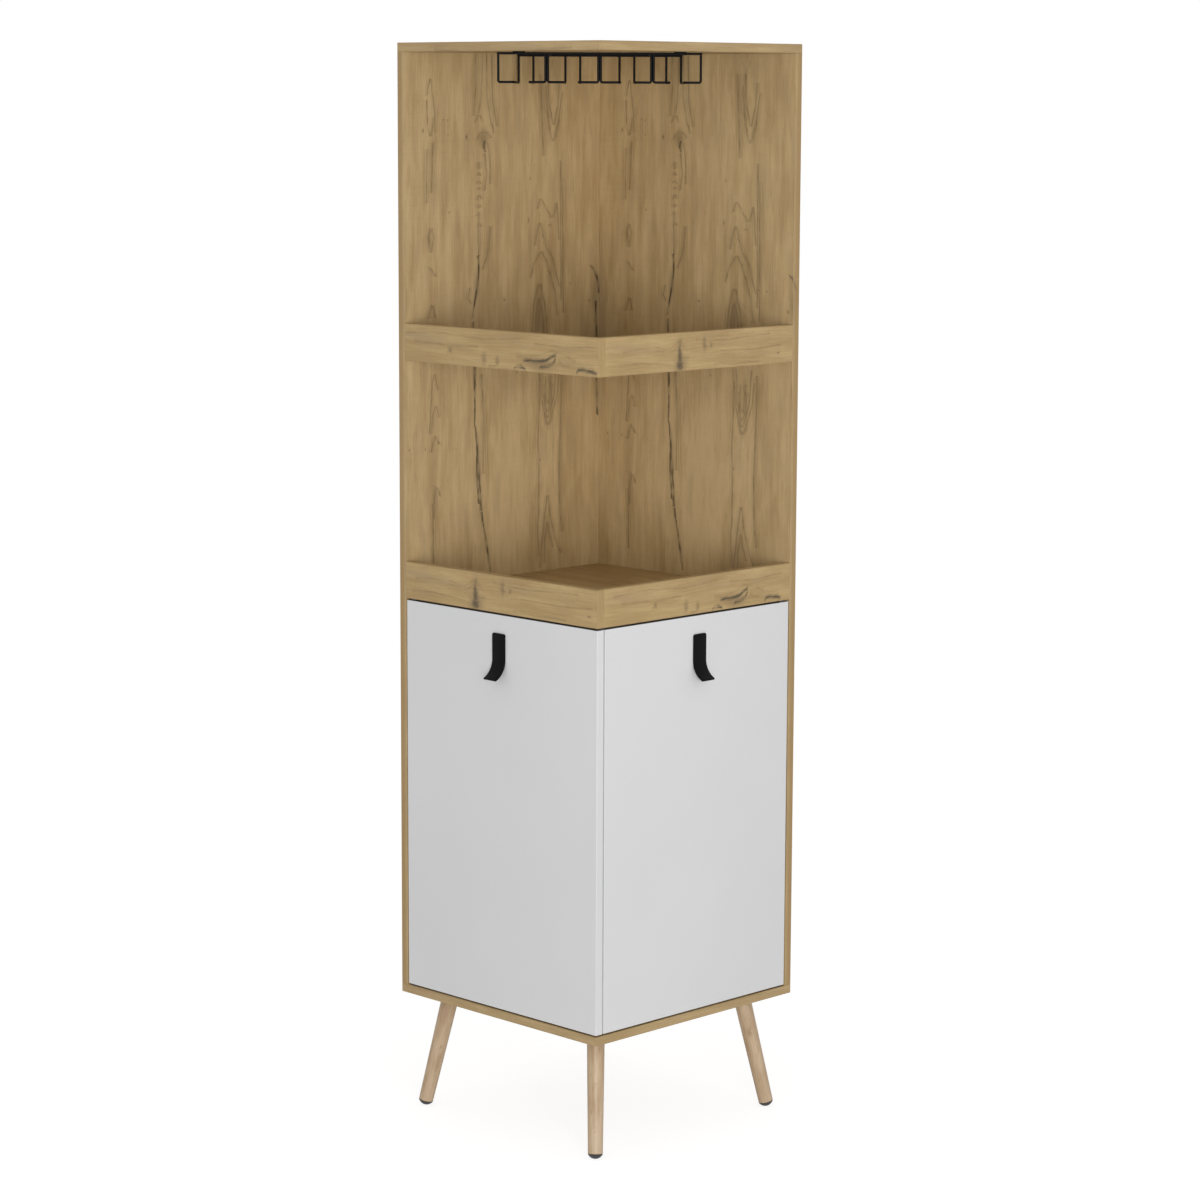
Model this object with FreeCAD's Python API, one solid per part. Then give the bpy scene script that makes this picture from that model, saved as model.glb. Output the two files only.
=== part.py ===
"""Corner bar cabinet: two walls, open shelves, a two-door cupboard, splayed legs and a stemware rack."""
import math
import os

import FreeCAD
import Part

V = FreeCAD.Vector
UP = V(0, 0, 1)
os.makedirs("parts", exist_ok=True)

# Main sizes, mm
SIDE = 480.0            # width and depth of the square plan
HEIGHT = 1840.0         # floor to the top of the top panel
BOARD = 15.0            # thickness of every board
EDGE_R = 0.6            # softened edge of a board
LEG_CLEAR = 204.0       # floor to the underside of the base panel
CUPBOARD_H = 682.0      # clear height between base panel and counter shelf
BAY_H = 407.0           # counter shelf to upper shelf
RAIL_H = 63.0           # height of the front rails
INNER_RISE = 322.0      # base panel to the inner shelf
INNER_SETBACK = 32.0    # inner shelf behind the backs of the doors
INNER_CORNER_R = 55.0   # rounded front corner of the inner shelf

# Clearances, mm
DOOR_GAP = 3.0          # around each door
FIT = 0.05              # around screws, dowels and pins in their holes
RUN = 0.3               # between parts that turn in one another
CATCH_GAP = 0.2         # magnet to strike plate, door shut

# Door pivots
PIVOT_IN = 0.8 * BOARD  # hinge edge of the door to the pivot axis
PIN_R = 2.5
PIN_IN_DOOR = 20.0
PIN_OUT = 11.5          # pin standing out of the door edge
BUSH_R = 4.2
BUSH_FLOOR = 1.2        # closed end of the bush
BUSH_DEPTH = PIN_OUT - DOOR_GAP + RUN + BUSH_FLOOR
FLANGE_R = 6.5

# Pulls
PULL_W = 30.0
PULL_T = 3.0
PULL_FLAT = 44.0        # straight length against the door
PULL_BEND_R = 36.0      # door side of the bend
PULL_BEND = 66.0        # degrees
PULL_DROP = 31.0        # door top to pull top
PULL_CORNER_R = 4.0
BOSS_R = 4.0
BOSS_L = 6.0
BOSS_IN = 11.0          # boss from each end of the straight length
PULL_SCREW_R = 2.0
PULL_SCREW_L = 14.0     # under the head
PULL_HEAD_R = 4.0
PULL_HEAD_T = 2.4

# Catches and strike plates
MAGNET_L = 22.0
CATCH_ENDS = 12.0       # body beyond each end of the magnet
CATCH_L = MAGNET_L + 2 * CATCH_ENDS
CATCH_D = 15.0
CATCH_H = 13.0
CATCH_ROUND = 1.5
CATCH_FROM_CORNER = 52.0
CATCH_SCREW_R = 1.6
CATCH_SCREW_L = 23.0
CATCH_SCREW_IN = 6.0    # screw from the end of the body
MAGNET_H = 6.0
MAGNET_D = 9.0
MAGNET_PROUD = 0.8
STRIKE_L = 40.0
STRIKE_H = 10.0
STRIKE_T = 1.5
STRIKE_ROUND = 3.0
STRIKE_BELOW = 0.5      # under the door's top edge
STRIKE_SCREW_R = 1.5
STRIKE_SCREW_L = 11.0
STRIKE_SCREW_IN = 6.0   # screw from the end of the plate

# Legs
FOOT_IN = 27.6          # foot centre from the two outer faces
SPLAY = 13.2            # degrees, along the diagonal
LEG_R_TOP = 15.0
LEG_R_FOOT = 12.6
LEG_ROUND = 2.0
GLIDE_H = 7.5
GLIDE_DOME_R = 14.0
GLIDE_FLAT_CUT = 1.0    # how much of the dome the floor takes off
NAIL_R = 1.5
NAIL_L = 16.0
PLATE = 62.0
PLATE_T = 2.0
PLATE_R = 7.0
WEDGE_CLEAR = 1.1       # high side of the leg's top below the plate
WEDGE_R = 13.0
BOLT_R = 3.9
BOLT_IN_LEG = 40.0
BOLT_IN_BASE = 4.0
BOLT_ROOM = 3.8         # around and above the bolt's end in the base panel
PLATE_SCREW_R = 1.9
PLATE_SCREW_L = 12.0
PLATE_SCREW_IN = 8.0    # screw from the plate's edges

# Stemware rack, laid out along and across the plan diagonal
WIRE_R = 2.0
WIRE_BEND_R = 3.0
RACK_FRONT_IN = 41.4    # front bar's ends behind the top panel's front edges, along the diagonal
RACK_REAR_IN = 11.2     # rear bar's ends ahead of the walls, along the diagonal
RACK_DROP = 50.0        # top panel to the wire's middle line
LANE_GAP = 25.5         # between the two wires of a stem lane, middle to middle
LANES = (46.6, 127.3)   # lane centres either side of the middle
DROPS = (86.7, 166.0)   # drop wires between and beyond the lanes
TAB_L = 20.0
TAB_W = 15.0
TAB_T = 1.5
TAB_ROUND = 2.5
TAB_HOLE_IN = 8.0       # bar to screw
TAB_FRONT = 132.0
TAB_REAR = 87.0
RACK_SCREW_R = 2.0
RACK_SCREW_L = 12.0     # under the head
RACK_HEAD_R = 3.6
RACK_HEAD_T = 2.2

# Joining hardware
FLARE = 1.8             # countersunk head radius to shank radius, small screws
SCREW_R = 3.2
SCREW_L = 49.0
SCREW_HEAD_R = 4.9
SCREW_HEAD_H = 3.0
CORNER_SCREWS = 4       # where the walls meet
CORNER_SCREW_END = 130.0
SHELF_SCREW_FRONT = 120.0   # from the wall's front edge
SHELF_SCREW_BACK = 110.0    # from the back corner
BASE_SCREW_IN = 135.0       # from the wall's two edges
RAIL_SCREW_DOWN = 21.0      # below the rail's top
DOWEL_R = 4.0
DOWEL_L = 30.0
DOWEL_SHORT = 10.5      # the end in a board's face
SHELF_DOWEL_IN = 96.0   # from the outer faces
TOP_DOWEL_IN = 48.0     # from the outer faces
RAIL_DOWEL_IN = 16.0    # from the rail's top and bottom
CAM_R = 7.5
CAM_DEPTH = BOARD - 3.0
CAM_DROP = 34.0
CAM_BOLT_R = 3.0
CAM_BOLT_IN = 10.0
CAM_IN = 100.0          # from the outer faces
OVER = 1.0              # how far cuts run past a face

# Levels and planes worked out from the sizes
HALF = SIDE / 2
IN = HALF - BOARD
MID = HALF - BOARD / 2
BASE_TOP = LEG_CLEAR + BOARD
COUNTER_Z = BASE_TOP + CUPBOARD_H
UPPER_Z = COUNTER_Z + BAY_H
INNER_Z = BASE_TOP + INNER_RISE
TOP_Z = HEIGHT - BOARD
DOOR_Z0 = BASE_TOP + DOOR_GAP
DOOR_Z1 = COUNTER_Z - DOOR_GAP
BEND = math.radians(PULL_BEND)
PULL_OUT = PULL_BEND_R - (PULL_BEND_R - PULL_T / 2) * math.cos(BEND) + PULL_T / 2
SHIFT = V(-PULL_OUT / 2, PULL_OUT / 2, 0)
DEPTH = V(1, -1, 0).normalize()
ACROSS = V(1, 1, 0).normalize()


def box(x0, y0, z0, x1, y1, z1):
    return Part.makeBox(x1 - x0, y1 - y0, z1 - z0, V(x0, y0, z0))


def board(x0, y0, z0, x1, y1, z1):
    """A board with softened edges."""
    plain = box(x0, y0, z0, x1, y1, z1)
    return plain.makeFillet(EDGE_R, plain.Edges)


def rod(start, way, radius, length):
    return Part.makeCylinder(radius, length, start, way)


def fused(shapes):
    return shapes[0].multiFuse(shapes[1:]).removeSplitter()


def emit(name, *shapes):
    """Write one piece, or a group of like pieces, in the object's own frame."""
    shape = shapes[0] if len(shapes) == 1 else Part.makeCompound(list(shapes))
    shape = shape.copy()
    shape.translate(SHIFT)
    shape.exportStep("parts/" + name + ".step")


holes = {}


def cut_from(names, tool):
    for name in names:
        holes.setdefault(name, []).append(tool)


def bored(name, shape):
    return shape.cut(holes[name]) if name in holes else shape


# Joining screws with countersunk heads
screws = []


def flat_screw(head, way, head_r, head_h, radius, length, grow=0.0):
    """Countersunk screw from the middle of its head along the way it is driven."""
    cone = Part.makeCone(head_r + grow, radius + grow, head_h, head, way)
    shank = rod(head + way * head_h, way, radius + grow, length - head_h + grow)
    return cone.fuse(shank)


def small_screw(radius, length, head, way, grow=0.0):
    """Small countersunk screw with a right-angled head."""
    return flat_screw(head, way, FLARE * radius, (FLARE - 1) * radius, radius, length, grow)


def drive(names, head, way):
    size = (SCREW_HEAD_R, SCREW_HEAD_H, SCREW_R, SCREW_L)
    screws.append(flat_screw(head, way, *size))
    cut_from(names, flat_screw(head, way, *size, grow=FIT))


for number in range(CORNER_SCREWS):
    span = TOP_Z - BASE_TOP - 2 * CORNER_SCREW_END
    level = BASE_TOP + CORNER_SCREW_END + span * number / (CORNER_SCREWS - 1)
    drive(("left_wall", "right_wall"), V(-HALF, MID, level), V(1, 0, 0))
for name, z in (("counter_shelf", COUNTER_Z), ("upper_shelf", UPPER_Z), ("inner_shelf", INNER_Z)):
    for along in (SHELF_SCREW_FRONT - HALF, HALF - SHELF_SCREW_BACK):
        level = z + BOARD / 2
        drive(("left_wall", name), V(-HALF, along, level), V(1, 0, 0))
        drive(("right_wall", name), V(-along, HALF, level), V(0, -1, 0))
for name, z in (("counter_rail", COUNTER_Z), ("upper_rail", UPPER_Z)):
    level = z + RAIL_H - RAIL_SCREW_DOWN
    drive(("left_wall", name + "_left"), V(-HALF, -MID, level), V(1, 0, 0))
    drive(("right_wall", name + "_right"), V(MID, HALF, level), V(0, -1, 0))
for along in (BASE_SCREW_IN - HALF, HALF - BASE_SCREW_IN):
    drive(("base_panel", "left_wall"), V(-MID, along, LEG_CLEAR), UP)
    drive(("base_panel", "right_wall"), V(along, MID, LEG_CLEAR), UP)

# Dowels
dowels = []


def dowel(names, start, way):
    dowels.append(rod(start, way, DOWEL_R, DOWEL_L))
    cut_from(names, rod(start - way * FIT, way, DOWEL_R + FIT, DOWEL_L + 2 * FIT))


for name, z in (("counter", COUNTER_Z), ("upper", UPPER_Z)):
    for along in (SHELF_DOWEL_IN - HALF, 0, HALF - SHELF_DOWEL_IN):
        level = z + BOARD / 2
        rail = name + "_rail_left"
        dowel((rail, name + "_shelf"), V(along, -IN - DOWEL_SHORT, level), V(0, 1, 0))
        rail = name + "_rail_right"
        dowel((rail, name + "_shelf"), V(IN + DOWEL_SHORT, along, level), V(-1, 0, 0))
    for up in (RAIL_DOWEL_IN, RAIL_H - RAIL_DOWEL_IN):
        start = V(MID, -IN - DOWEL_SHORT, z + up)
        dowel((name + "_rail_left", name + "_rail_right"), start, V(0, 1, 0))
for along in (TOP_DOWEL_IN - HALF, HALF - TOP_DOWEL_IN):
    dowel(("top_panel", "left_wall"), V(-MID, along, TOP_Z + DOWEL_SHORT), -UP)
    dowel(("top_panel", "right_wall"), V(along, MID, TOP_Z + DOWEL_SHORT), -UP)

# Cam bolts in the top panel, cam locks in the outer faces of the walls
cam_bolts = []
cam_locks = []


def cam(wall, face, way):
    """Cam lock let into a wall's outer face, with its bolt standing up into the top panel."""
    axis = V(face.x + way.x * BOARD / 2, face.y + way.y * BOARD / 2, face.z)
    length = TOP_Z + CAM_BOLT_IN - face.z
    lock = rod(face, way, CAM_R, CAM_DEPTH)
    slot = rod(axis - UP * FIT, UP, CAM_BOLT_R + FIT, CAM_R + OVER)
    cam_locks.append(lock.cut(slot))
    cam_bolts.append(rod(axis, UP, CAM_BOLT_R, length))
    cut_from((wall,), rod(face, way, CAM_R + FIT, CAM_DEPTH + FIT))
    cut_from((wall, "top_panel"), rod(axis, UP, CAM_BOLT_R + FIT, length + FIT))


for along in (CAM_IN - HALF, HALF - CAM_IN):
    cam("left_wall", V(-HALF, along, TOP_Z - CAM_DROP), V(1, 0, 0))
    cam("right_wall", V(along, HALF, TOP_Z - CAM_DROP), V(0, -1, 0))

# Pivot pins on the doors, flanged bushes in the base panel and the counter rails
LEFT_AXIS = V(-IN + DOOR_GAP + PIVOT_IN, -MID, 0)
RIGHT_AXIS = V(MID, IN - DOOR_GAP - PIVOT_IN, 0)
bushes = []
pins = {}


def pivot(door, axis, above):
    """One pin and one bush at the foot of a door and another pair at its head."""
    pins[door] = []
    seats = ((DOOR_Z0, -UP, BASE_TOP, "base_panel"), (DOOR_Z1, UP, COUNTER_Z, above))
    for edge, way, face, seat in seats:
        root = axis + UP * edge - way * PIN_IN_DOOR
        pins[door].append(rod(root, way, PIN_R, PIN_IN_DOOR + PIN_OUT))
        cut_from((door,), rod(root - way * FIT, way, PIN_R + FIT, PIN_IN_DOOR + OVER))
        flange_t = DOOR_GAP - RUN
        mouth = axis + UP * face
        sleeve = rod(mouth, way, BUSH_R, BUSH_DEPTH)
        flange = rod(mouth - way * flange_t, way, FLANGE_R, flange_t)
        bore = rod(mouth - way * flange_t, way, PIN_R + RUN, flange_t + PIN_OUT - DOOR_GAP + RUN)
        bushes.append(sleeve.fuse(flange).cut(bore))
        cut_from((seat,), rod(mouth, way, BUSH_R + FIT, BUSH_DEPTH + FIT))


pivot("left_door", LEFT_AXIS, "counter_rail_left")
pivot("right_door", RIGHT_AXIS, "counter_rail_right")


# Bent strap pulls with two bosses let into the door
def strap(middle, out, along):
    """Pull on a door face: straight against the door, then bent away from it."""
    top = DOOR_Z1 - PULL_DROP
    low = top - PULL_FLAT

    def at(o, z):
        return middle + out * o + UP * z - along * (PULL_W / 2)

    def on_bend(radius, angle):
        return at(PULL_BEND_R - radius * math.cos(angle), low - radius * math.sin(angle))

    inner = PULL_BEND_R
    outer = PULL_BEND_R - PULL_T
    tip = on_bend(inner, BEND) + (on_bend(outer, BEND) - on_bend(inner, BEND)) * 0.5
    ahead = UP * (-math.cos(BEND)) + out * math.sin(BEND)
    nose = tip + ahead * (PULL_T / 2)
    path = [
        Part.makeLine(at(0, top), at(0, low)),
        Part.Arc(on_bend(inner, 0), on_bend(inner, BEND / 2), on_bend(inner, BEND)).toShape(),
        Part.Arc(on_bend(inner, BEND), nose, on_bend(outer, BEND)).toShape(),
        Part.Arc(on_bend(outer, BEND), on_bend(outer, BEND / 2), on_bend(outer, 0)).toShape(),
        Part.makeLine(at(PULL_T, low), at(PULL_T, top)),
        Part.makeLine(at(PULL_T, top), at(0, top)),
    ]
    body = Part.Face(Part.Wire(path)).extrude(along * PULL_W)
    corners = []
    for edge in body.Edges:
        a, b = (v.Point for v in edge.Vertexes)
        if abs(a.z - top) < 1e-6 and abs(b.z - top) < 1e-6 and abs(edge.Length - PULL_T) < 1e-6:
            corners.append(edge)
    return body.makeFillet(PULL_CORNER_R, corners)


pulls = {}
pull_screws = {}


def fit_pull(door, middle, out, along):
    top = DOOR_Z1 - PULL_DROP
    shapes = [strap(middle, out, along)]
    taps = []
    pull_screws[door] = []
    for below in (BOSS_IN, PULL_FLAT - BOSS_IN):
        seat = middle + UP * (top - below)
        shapes.append(rod(seat, -out, BOSS_R, BOSS_L))
        cut_from((door,), rod(seat, -out, BOSS_R + FIT, BOSS_L + FIT))
        inside = seat - out * BOARD
        taps.append(rod(inside, out, PULL_SCREW_R + FIT, PULL_SCREW_L + FIT))
        cut_from((door,), rod(inside, out, PULL_SCREW_R + FIT, BOARD - BOSS_L + OVER))
        head = rod(inside - out * PULL_HEAD_T, out, PULL_HEAD_R, PULL_HEAD_T)
        pull_screws[door].append(head.fuse(rod(inside, out, PULL_SCREW_R, PULL_SCREW_L)))
    pulls[door] = fused(shapes).cut(taps)


LEFT_MIDDLE = V((HALF - IN + DOOR_GAP) / 2, -HALF, 0)
fit_pull("left_door", LEFT_MIDDLE, V(0, -1, 0), V(1, 0, 0))
fit_pull("right_door", V(HALF, 0, 0), V(1, 0, 0), V(0, 1, 0))

# Magnetic catches under the counter shelf and strike plates on the doors
magnets = []
catch_screws = []
catches = {}
strikes = {}
strike_screws = {}


def catch(door, spot, out, along):
    """Catch body with its magnet, and the strike plate on the door's back at the same spot."""

    def block(o0, o1, width, z0, z1):
        a = spot + out * o0 - along * (width / 2)
        b = spot + out * o1 + along * (width / 2)
        low = (min(a.x, b.x), min(a.y, b.y), z0)
        high = (max(a.x, b.x), max(a.y, b.y), z1)
        return box(*low, *high)

    face = -STRIKE_T - CATCH_GAP
    front = face - MAGNET_PROUD
    body = block(front, front - CATCH_D, CATCH_L, COUNTER_Z - CATCH_H, COUNTER_Z)
    body = body.makeFillet(CATCH_ROUND, [e for e in body.Edges if abs(e.Length - CATCH_H) < 1e-6])
    mid_z = COUNTER_Z - CATCH_H / 2
    z0 = mid_z - MAGNET_H / 2
    z1 = mid_z + MAGNET_H / 2
    magnets.append(block(face, face - MAGNET_D, MAGNET_L, z0, z1))
    pocket = block(face, face - MAGNET_D - FIT, MAGNET_L + 2 * FIT, z0 - FIT, z1 + FIT)
    body = body.cut(pocket)
    for side in (-1, 1):
        head = spot + out * (front - CATCH_D / 2) + along * (side * (CATCH_L / 2 - CATCH_SCREW_IN))
        head = V(head.x, head.y, COUNTER_Z - CATCH_H)
        catch_screws.append(small_screw(CATCH_SCREW_R, CATCH_SCREW_L, head, UP))
        tool = small_screw(CATCH_SCREW_R, CATCH_SCREW_L, head, UP, grow=FIT)
        body = body.cut(tool)
        cut_from(("counter_shelf",), tool)
    catches[door] = body
    high = DOOR_Z1 - STRIKE_BELOW
    plate = block(0, -STRIKE_T, STRIKE_L, high - STRIKE_H, high)
    plate = plate.makeFillet(STRIKE_ROUND, [e for e in plate.Edges if abs(e.Length - STRIKE_T) < 1e-6])
    strike_screws[door] = []
    for side in (-1, 1):
        head = spot - out * STRIKE_T + along * (side * (STRIKE_L / 2 - STRIKE_SCREW_IN))
        head = V(head.x, head.y, high - STRIKE_H / 2)
        strike_screws[door].append(small_screw(STRIKE_SCREW_R, STRIKE_SCREW_L, head, out))
        tool = small_screw(STRIKE_SCREW_R, STRIKE_SCREW_L, head, out, grow=FIT)
        plate = plate.cut(tool)
        cut_from((door,), tool)
    strikes[door] = plate


catch("left_door", V(IN - CATCH_FROM_CORNER, -IN, 0), V(0, -1, 0), V(1, 0, 0))
catch("right_door", V(IN, -IN + CATCH_FROM_CORNER, 0), V(1, 0, 0), V(0, 1, 0))

# Splayed turned legs, their glides, angled plates and hanger bolts
TILT = math.radians(SPLAY)
WEDGE = LEG_R_TOP * math.sin(TILT) + WEDGE_CLEAR
LEG_TOP = (LEG_CLEAR - PLATE_T - WEDGE) / math.cos(TILT)
CORNERS = (("front", 1, -1), ("back", -1, 1), ("left", -1, -1), ("right", 1, 1))
bolts = []
plate_screws = []
legs = {}


def turned(profile):
    return Part.Face(Part.Wire(profile)).revolve(V(0, 0, 0), UP, 360)


def leg_blank():
    """Turned leg about the upright axis: rounded foot, straight taper, rounded head."""
    def p(r, h):
        return V(r, 0, h)

    q = LEG_ROUND
    s = q * (1 - math.sqrt(0.5))
    foot, head = LEG_R_FOOT, LEG_R_TOP
    low, high = GLIDE_H, LEG_TOP
    profile = [
        Part.makeLine(p(0, low), p(foot - q, low)),
        Part.Arc(p(foot - q, low), p(foot - s, low + s), p(foot, low + q)).toShape(),
        Part.makeLine(p(foot, low + q), p(head, high - q)),
        Part.Arc(p(head, high - q), p(head - s, high - s), p(head - q, high)).toShape(),
        Part.makeLine(p(head - q, high), p(0, high)),
        Part.makeLine(p(0, high), p(0, low)),
    ]
    shape = turned(profile)
    nail = rod(V(0, 0, low), UP, NAIL_R + FIT, NAIL_L + FIT)
    bolt = rod(V(0, 0, high - BOLT_IN_LEG - FIT), UP, BOLT_R + FIT, BOLT_IN_LEG + OVER)
    return shape.cut([nail, bolt])


def glide_blank():
    """Domed glide with its nail, before the floor trims the dome flat."""
    drum = rod(V(0, 0, -GLIDE_H), UP, LEG_R_FOOT, 2 * GLIDE_H)
    middle = (GLIDE_DOME_R - GLIDE_FLAT_CUT) / math.cos(TILT)
    dome = Part.makeSphere(GLIDE_DOME_R, V(0, 0, middle))
    nail = rod(V(0, 0, GLIDE_H - OVER), UP, NAIL_R, NAIL_L + OVER)
    return drum.common(dome).fuse(nail)


def leaned(shape, sx, sy):
    """Lean a part with the leg of one corner and stand it on that corner's foot point."""
    shape = shape.copy()
    shape.rotate(V(0, 0, 0), V(sy, -sx, 0), SPLAY)
    shape.translate(V(sx, sy, 0) * (HALF - FOOT_IN))
    return shape


for corner, sx, sy in CORNERS:
    leg = leaned(leg_blank(), sx, sy)
    floor = box(-SIDE, -SIDE, 0, SIDE, SIDE, LEG_CLEAR)
    glide = leaned(glide_blank(), sx, sy).common(floor)
    reach = HALF - FOOT_IN - LEG_CLEAR * math.tan(TILT) / math.sqrt(2)
    cx, cy = sx * reach, sy * reach
    under = LEG_CLEAR - PLATE_T
    h = PLATE / 2
    plate = box(cx - h, cy - h, under, cx + h, cy + h, LEG_CLEAR)
    plate = plate.makeFillet(PLATE_R, [e for e in plate.Edges if abs(e.Length - PLATE_T) < 1e-6])
    wedge = leaned(rod(V(0, 0, LEG_TOP), UP, WEDGE_R, 6 * WEDGE), sx, sy)
    wedge = wedge.common(box(-SIDE, -SIDE, 0, SIDE, SIDE, LEG_CLEAR - PLATE_T / 2))
    bolt_len = BOLT_IN_LEG + (LEG_CLEAR + BOLT_IN_BASE) / math.cos(TILT) - LEG_TOP
    bolt_at = V(0, 0, LEG_TOP - BOLT_IN_LEG)
    bolts.append(leaned(rod(bolt_at, UP, BOLT_R, bolt_len), sx, sy))
    bolt_hole = leaned(rod(bolt_at, UP, BOLT_R + FIT, bolt_len + BOLT_R), sx, sy)
    plate = fused([plate, wedge]).cut(bolt_hole)
    room = rod(V(cx, cy, LEG_CLEAR), UP, BOLT_R + BOLT_ROOM, BOLT_IN_BASE + BOLT_ROOM)
    cut_from(("base_panel",), room)
    for ax in (-1, 1):
        for ay in (-1, 1):
            head = V(cx + ax * (h - PLATE_SCREW_IN), cy + ay * (h - PLATE_SCREW_IN), under)
            plate_screws.append(small_screw(PLATE_SCREW_R, PLATE_SCREW_L, head, UP))
            tool = small_screw(PLATE_SCREW_R, PLATE_SCREW_L, head, UP, grow=FIT)
            plate = plate.cut(tool)
            cut_from(("base_panel",), tool)
    legs[corner] = (leg, glide, plate)

# Stemware rack of bent wire
FRONT_HALF = DROPS[1] + WIRE_R
REAR_HALF = LANES[1] + LANE_GAP / 2 + WIRE_R
BAR_FRONT = HALF * math.sqrt(2) - FRONT_HALF - RACK_FRONT_IN
BAR_REAR = REAR_HALF + RACK_REAR_IN - IN * math.sqrt(2)
BAR_Z = TOP_Z - TAB_T - WIRE_R
RUN_Z = TOP_Z - RACK_DROP


def plan(across, depth, z):
    return ACROSS * across + DEPTH * depth + UP * z


def bent_wire(points):
    """Round wire through the points in straight lengths, with an arc at each inner point."""
    pieces = []
    start = points[0]
    for before, here, after in zip(points, points[1:], points[2:]):
        a = (here - before).normalize()
        b = (after - here).normalize()
        turn = a.getAngle(b)
        back = WIRE_BEND_R * math.tan(turn / 2)
        first = here - a * back
        pieces.append(rod(start, a, WIRE_R, (first - start).Length))
        side = (b - a * a.dot(b)).normalize()
        disc = Part.Face(Part.Wire(Part.makeCircle(WIRE_R, first, a)))
        arc = disc.revolve(first + side * WIRE_BEND_R, a.cross(b), math.degrees(turn))
        pieces.append(arc)
        start = here + b * back
    last = points[-1] - start
    length = last.Length
    pieces.append(rod(start, last.normalize(), WIRE_R, length))
    return fused(pieces)


def runner(drop, foot):
    """One runner: down from the front bar, across to its lane, back, and up to the rear bar."""
    front = BAR_FRONT - 2 * WIRE_R
    rear = BAR_REAR + 2 * WIRE_R
    high = BAR_Z + WIRE_R
    return bent_wire([
        plan(drop, front, high), plan(drop, front, RUN_Z), plan(foot, front, RUN_Z),
        plan(foot, rear, RUN_Z), plan(foot, rear, high),
    ])


lane_edges = []
for side in (-1, 1):
    inner, outer = LANES
    gap = LANE_GAP / 2
    lane_edges.append((side * DROPS[1], side * (outer + gap)))
    lane_edges.append((side * (DROPS[0] + WIRE_R), side * (outer - gap)))
    lane_edges.append((side * (DROPS[0] - WIRE_R), side * (inner + gap)))
    lane_edges.append((side * WIRE_R, side * (inner - gap)))
lane_edges.sort()

front_bar = rod(plan(-FRONT_HALF, BAR_FRONT, BAR_Z), ACROSS, WIRE_R, 2 * FRONT_HALF)
rear_bar = rod(plan(-REAR_HALF, BAR_REAR, BAR_Z), ACROSS, WIRE_R, 2 * REAR_HALF)

tabs = []
rack_screws = []
tab_rows = ((BAR_FRONT, TAB_FRONT, -1), (BAR_REAR, TAB_REAR, 1))
for depth, across, inward in tab_rows:
    for side in (-1, 1):
        edge = depth - inward * WIRE_R
        rim = [
            plan(side * across - TAB_L / 2, edge, TOP_Z - TAB_T),
            plan(side * across + TAB_L / 2, edge, TOP_Z - TAB_T),
            plan(side * across + TAB_L / 2, edge + inward * TAB_W, TOP_Z - TAB_T),
            plan(side * across - TAB_L / 2, edge + inward * TAB_W, TOP_Z - TAB_T),
        ]
        tab = Part.Face(Part.makePolygon(rim + rim[:1])).extrude(UP * TAB_T)
        tab = tab.makeFillet(TAB_ROUND, [e for e in tab.Edges if abs(e.Length - TAB_T) < 1e-6])
        spot = plan(side * across, depth + inward * TAB_HOLE_IN, TOP_Z - TAB_T)
        tabs.append(tab.cut(rod(spot, UP, RACK_SCREW_R + FIT, TAB_T)))
        head = rod(spot - UP * RACK_HEAD_T, UP, RACK_HEAD_R, RACK_HEAD_T)
        rack_screws.append(head.fuse(rod(spot, UP, RACK_SCREW_R, RACK_SCREW_L)))
        cut_from(("top_panel",), rod(spot, UP, RACK_SCREW_R + FIT, RACK_SCREW_L + FIT))

# Boards
boards = {
    "base_panel": board(-HALF, -HALF, LEG_CLEAR, HALF, HALF, BASE_TOP),
    "top_panel": board(-HALF, -HALF, TOP_Z, HALF, HALF, HEIGHT),
    "left_wall": board(-HALF, -HALF, BASE_TOP, -IN, HALF, TOP_Z),
    "right_wall": board(-IN, IN, BASE_TOP, HALF, HALF, TOP_Z),
    "left_door": board(-IN + DOOR_GAP, -HALF, DOOR_Z0, HALF, -IN, DOOR_Z1),
    "right_door": board(IN, -IN + DOOR_GAP, DOOR_Z0, HALF, IN - DOOR_GAP, DOOR_Z1),
}
for name, z in (("counter", COUNTER_Z), ("upper", UPPER_Z)):
    boards[name + "_shelf"] = board(-IN, -IN, z, IN, IN, z + BOARD)
    boards[name + "_rail_left"] = board(-IN, -HALF, z, HALF, -IN, z + RAIL_H)
    boards[name + "_rail_right"] = board(IN, -IN, z, HALF, IN, z + RAIL_H)

# Inner shelf with its rounded front corner
lip = IN - INNER_SETBACK
shelf = box(-IN, -lip, INNER_Z, lip, IN, INNER_Z + BOARD)
nose = [e for e in shelf.Edges if abs(e.CenterOfMass.x - lip) + abs(e.CenterOfMass.y + lip) < 1e-6]
boards["inner_shelf"] = shelf.makeFillet(INNER_CORNER_R, nose)

for name, shape in boards.items():
    emit(name, bored(name, shape))
for side in ("left", "right"):
    door = side + "_door"
    emit(side + "_pull", pulls[door])
    emit(side + "_pull_screws", *pull_screws[door])
    emit(side + "_pivot_pins", *pins[door])
    emit(side + "_catch", catches[door])
    emit(side + "_strike", strikes[door])
    emit(side + "_strike_screws", *strike_screws[door])
for corner, shapes in legs.items():
    for name, shape in zip(("leg_", "glide_", "leg_plate_"), shapes):
        emit(name + corner, shape)
emit("hanger_bolts", *bolts)
emit("leg_plate_screws", *plate_screws)
emit("pivot_bushes", *bushes)
emit("catch_magnets", *magnets)
emit("catch_screws", *catch_screws)
emit("rack_front_bar", front_bar)
emit("rack_rear_bar", rear_bar)
for number, (drop, foot) in enumerate(lane_edges, 1):
    emit("rack_runner_%d" % number, runner(drop, foot))
emit("rack_tabs", *tabs)
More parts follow.
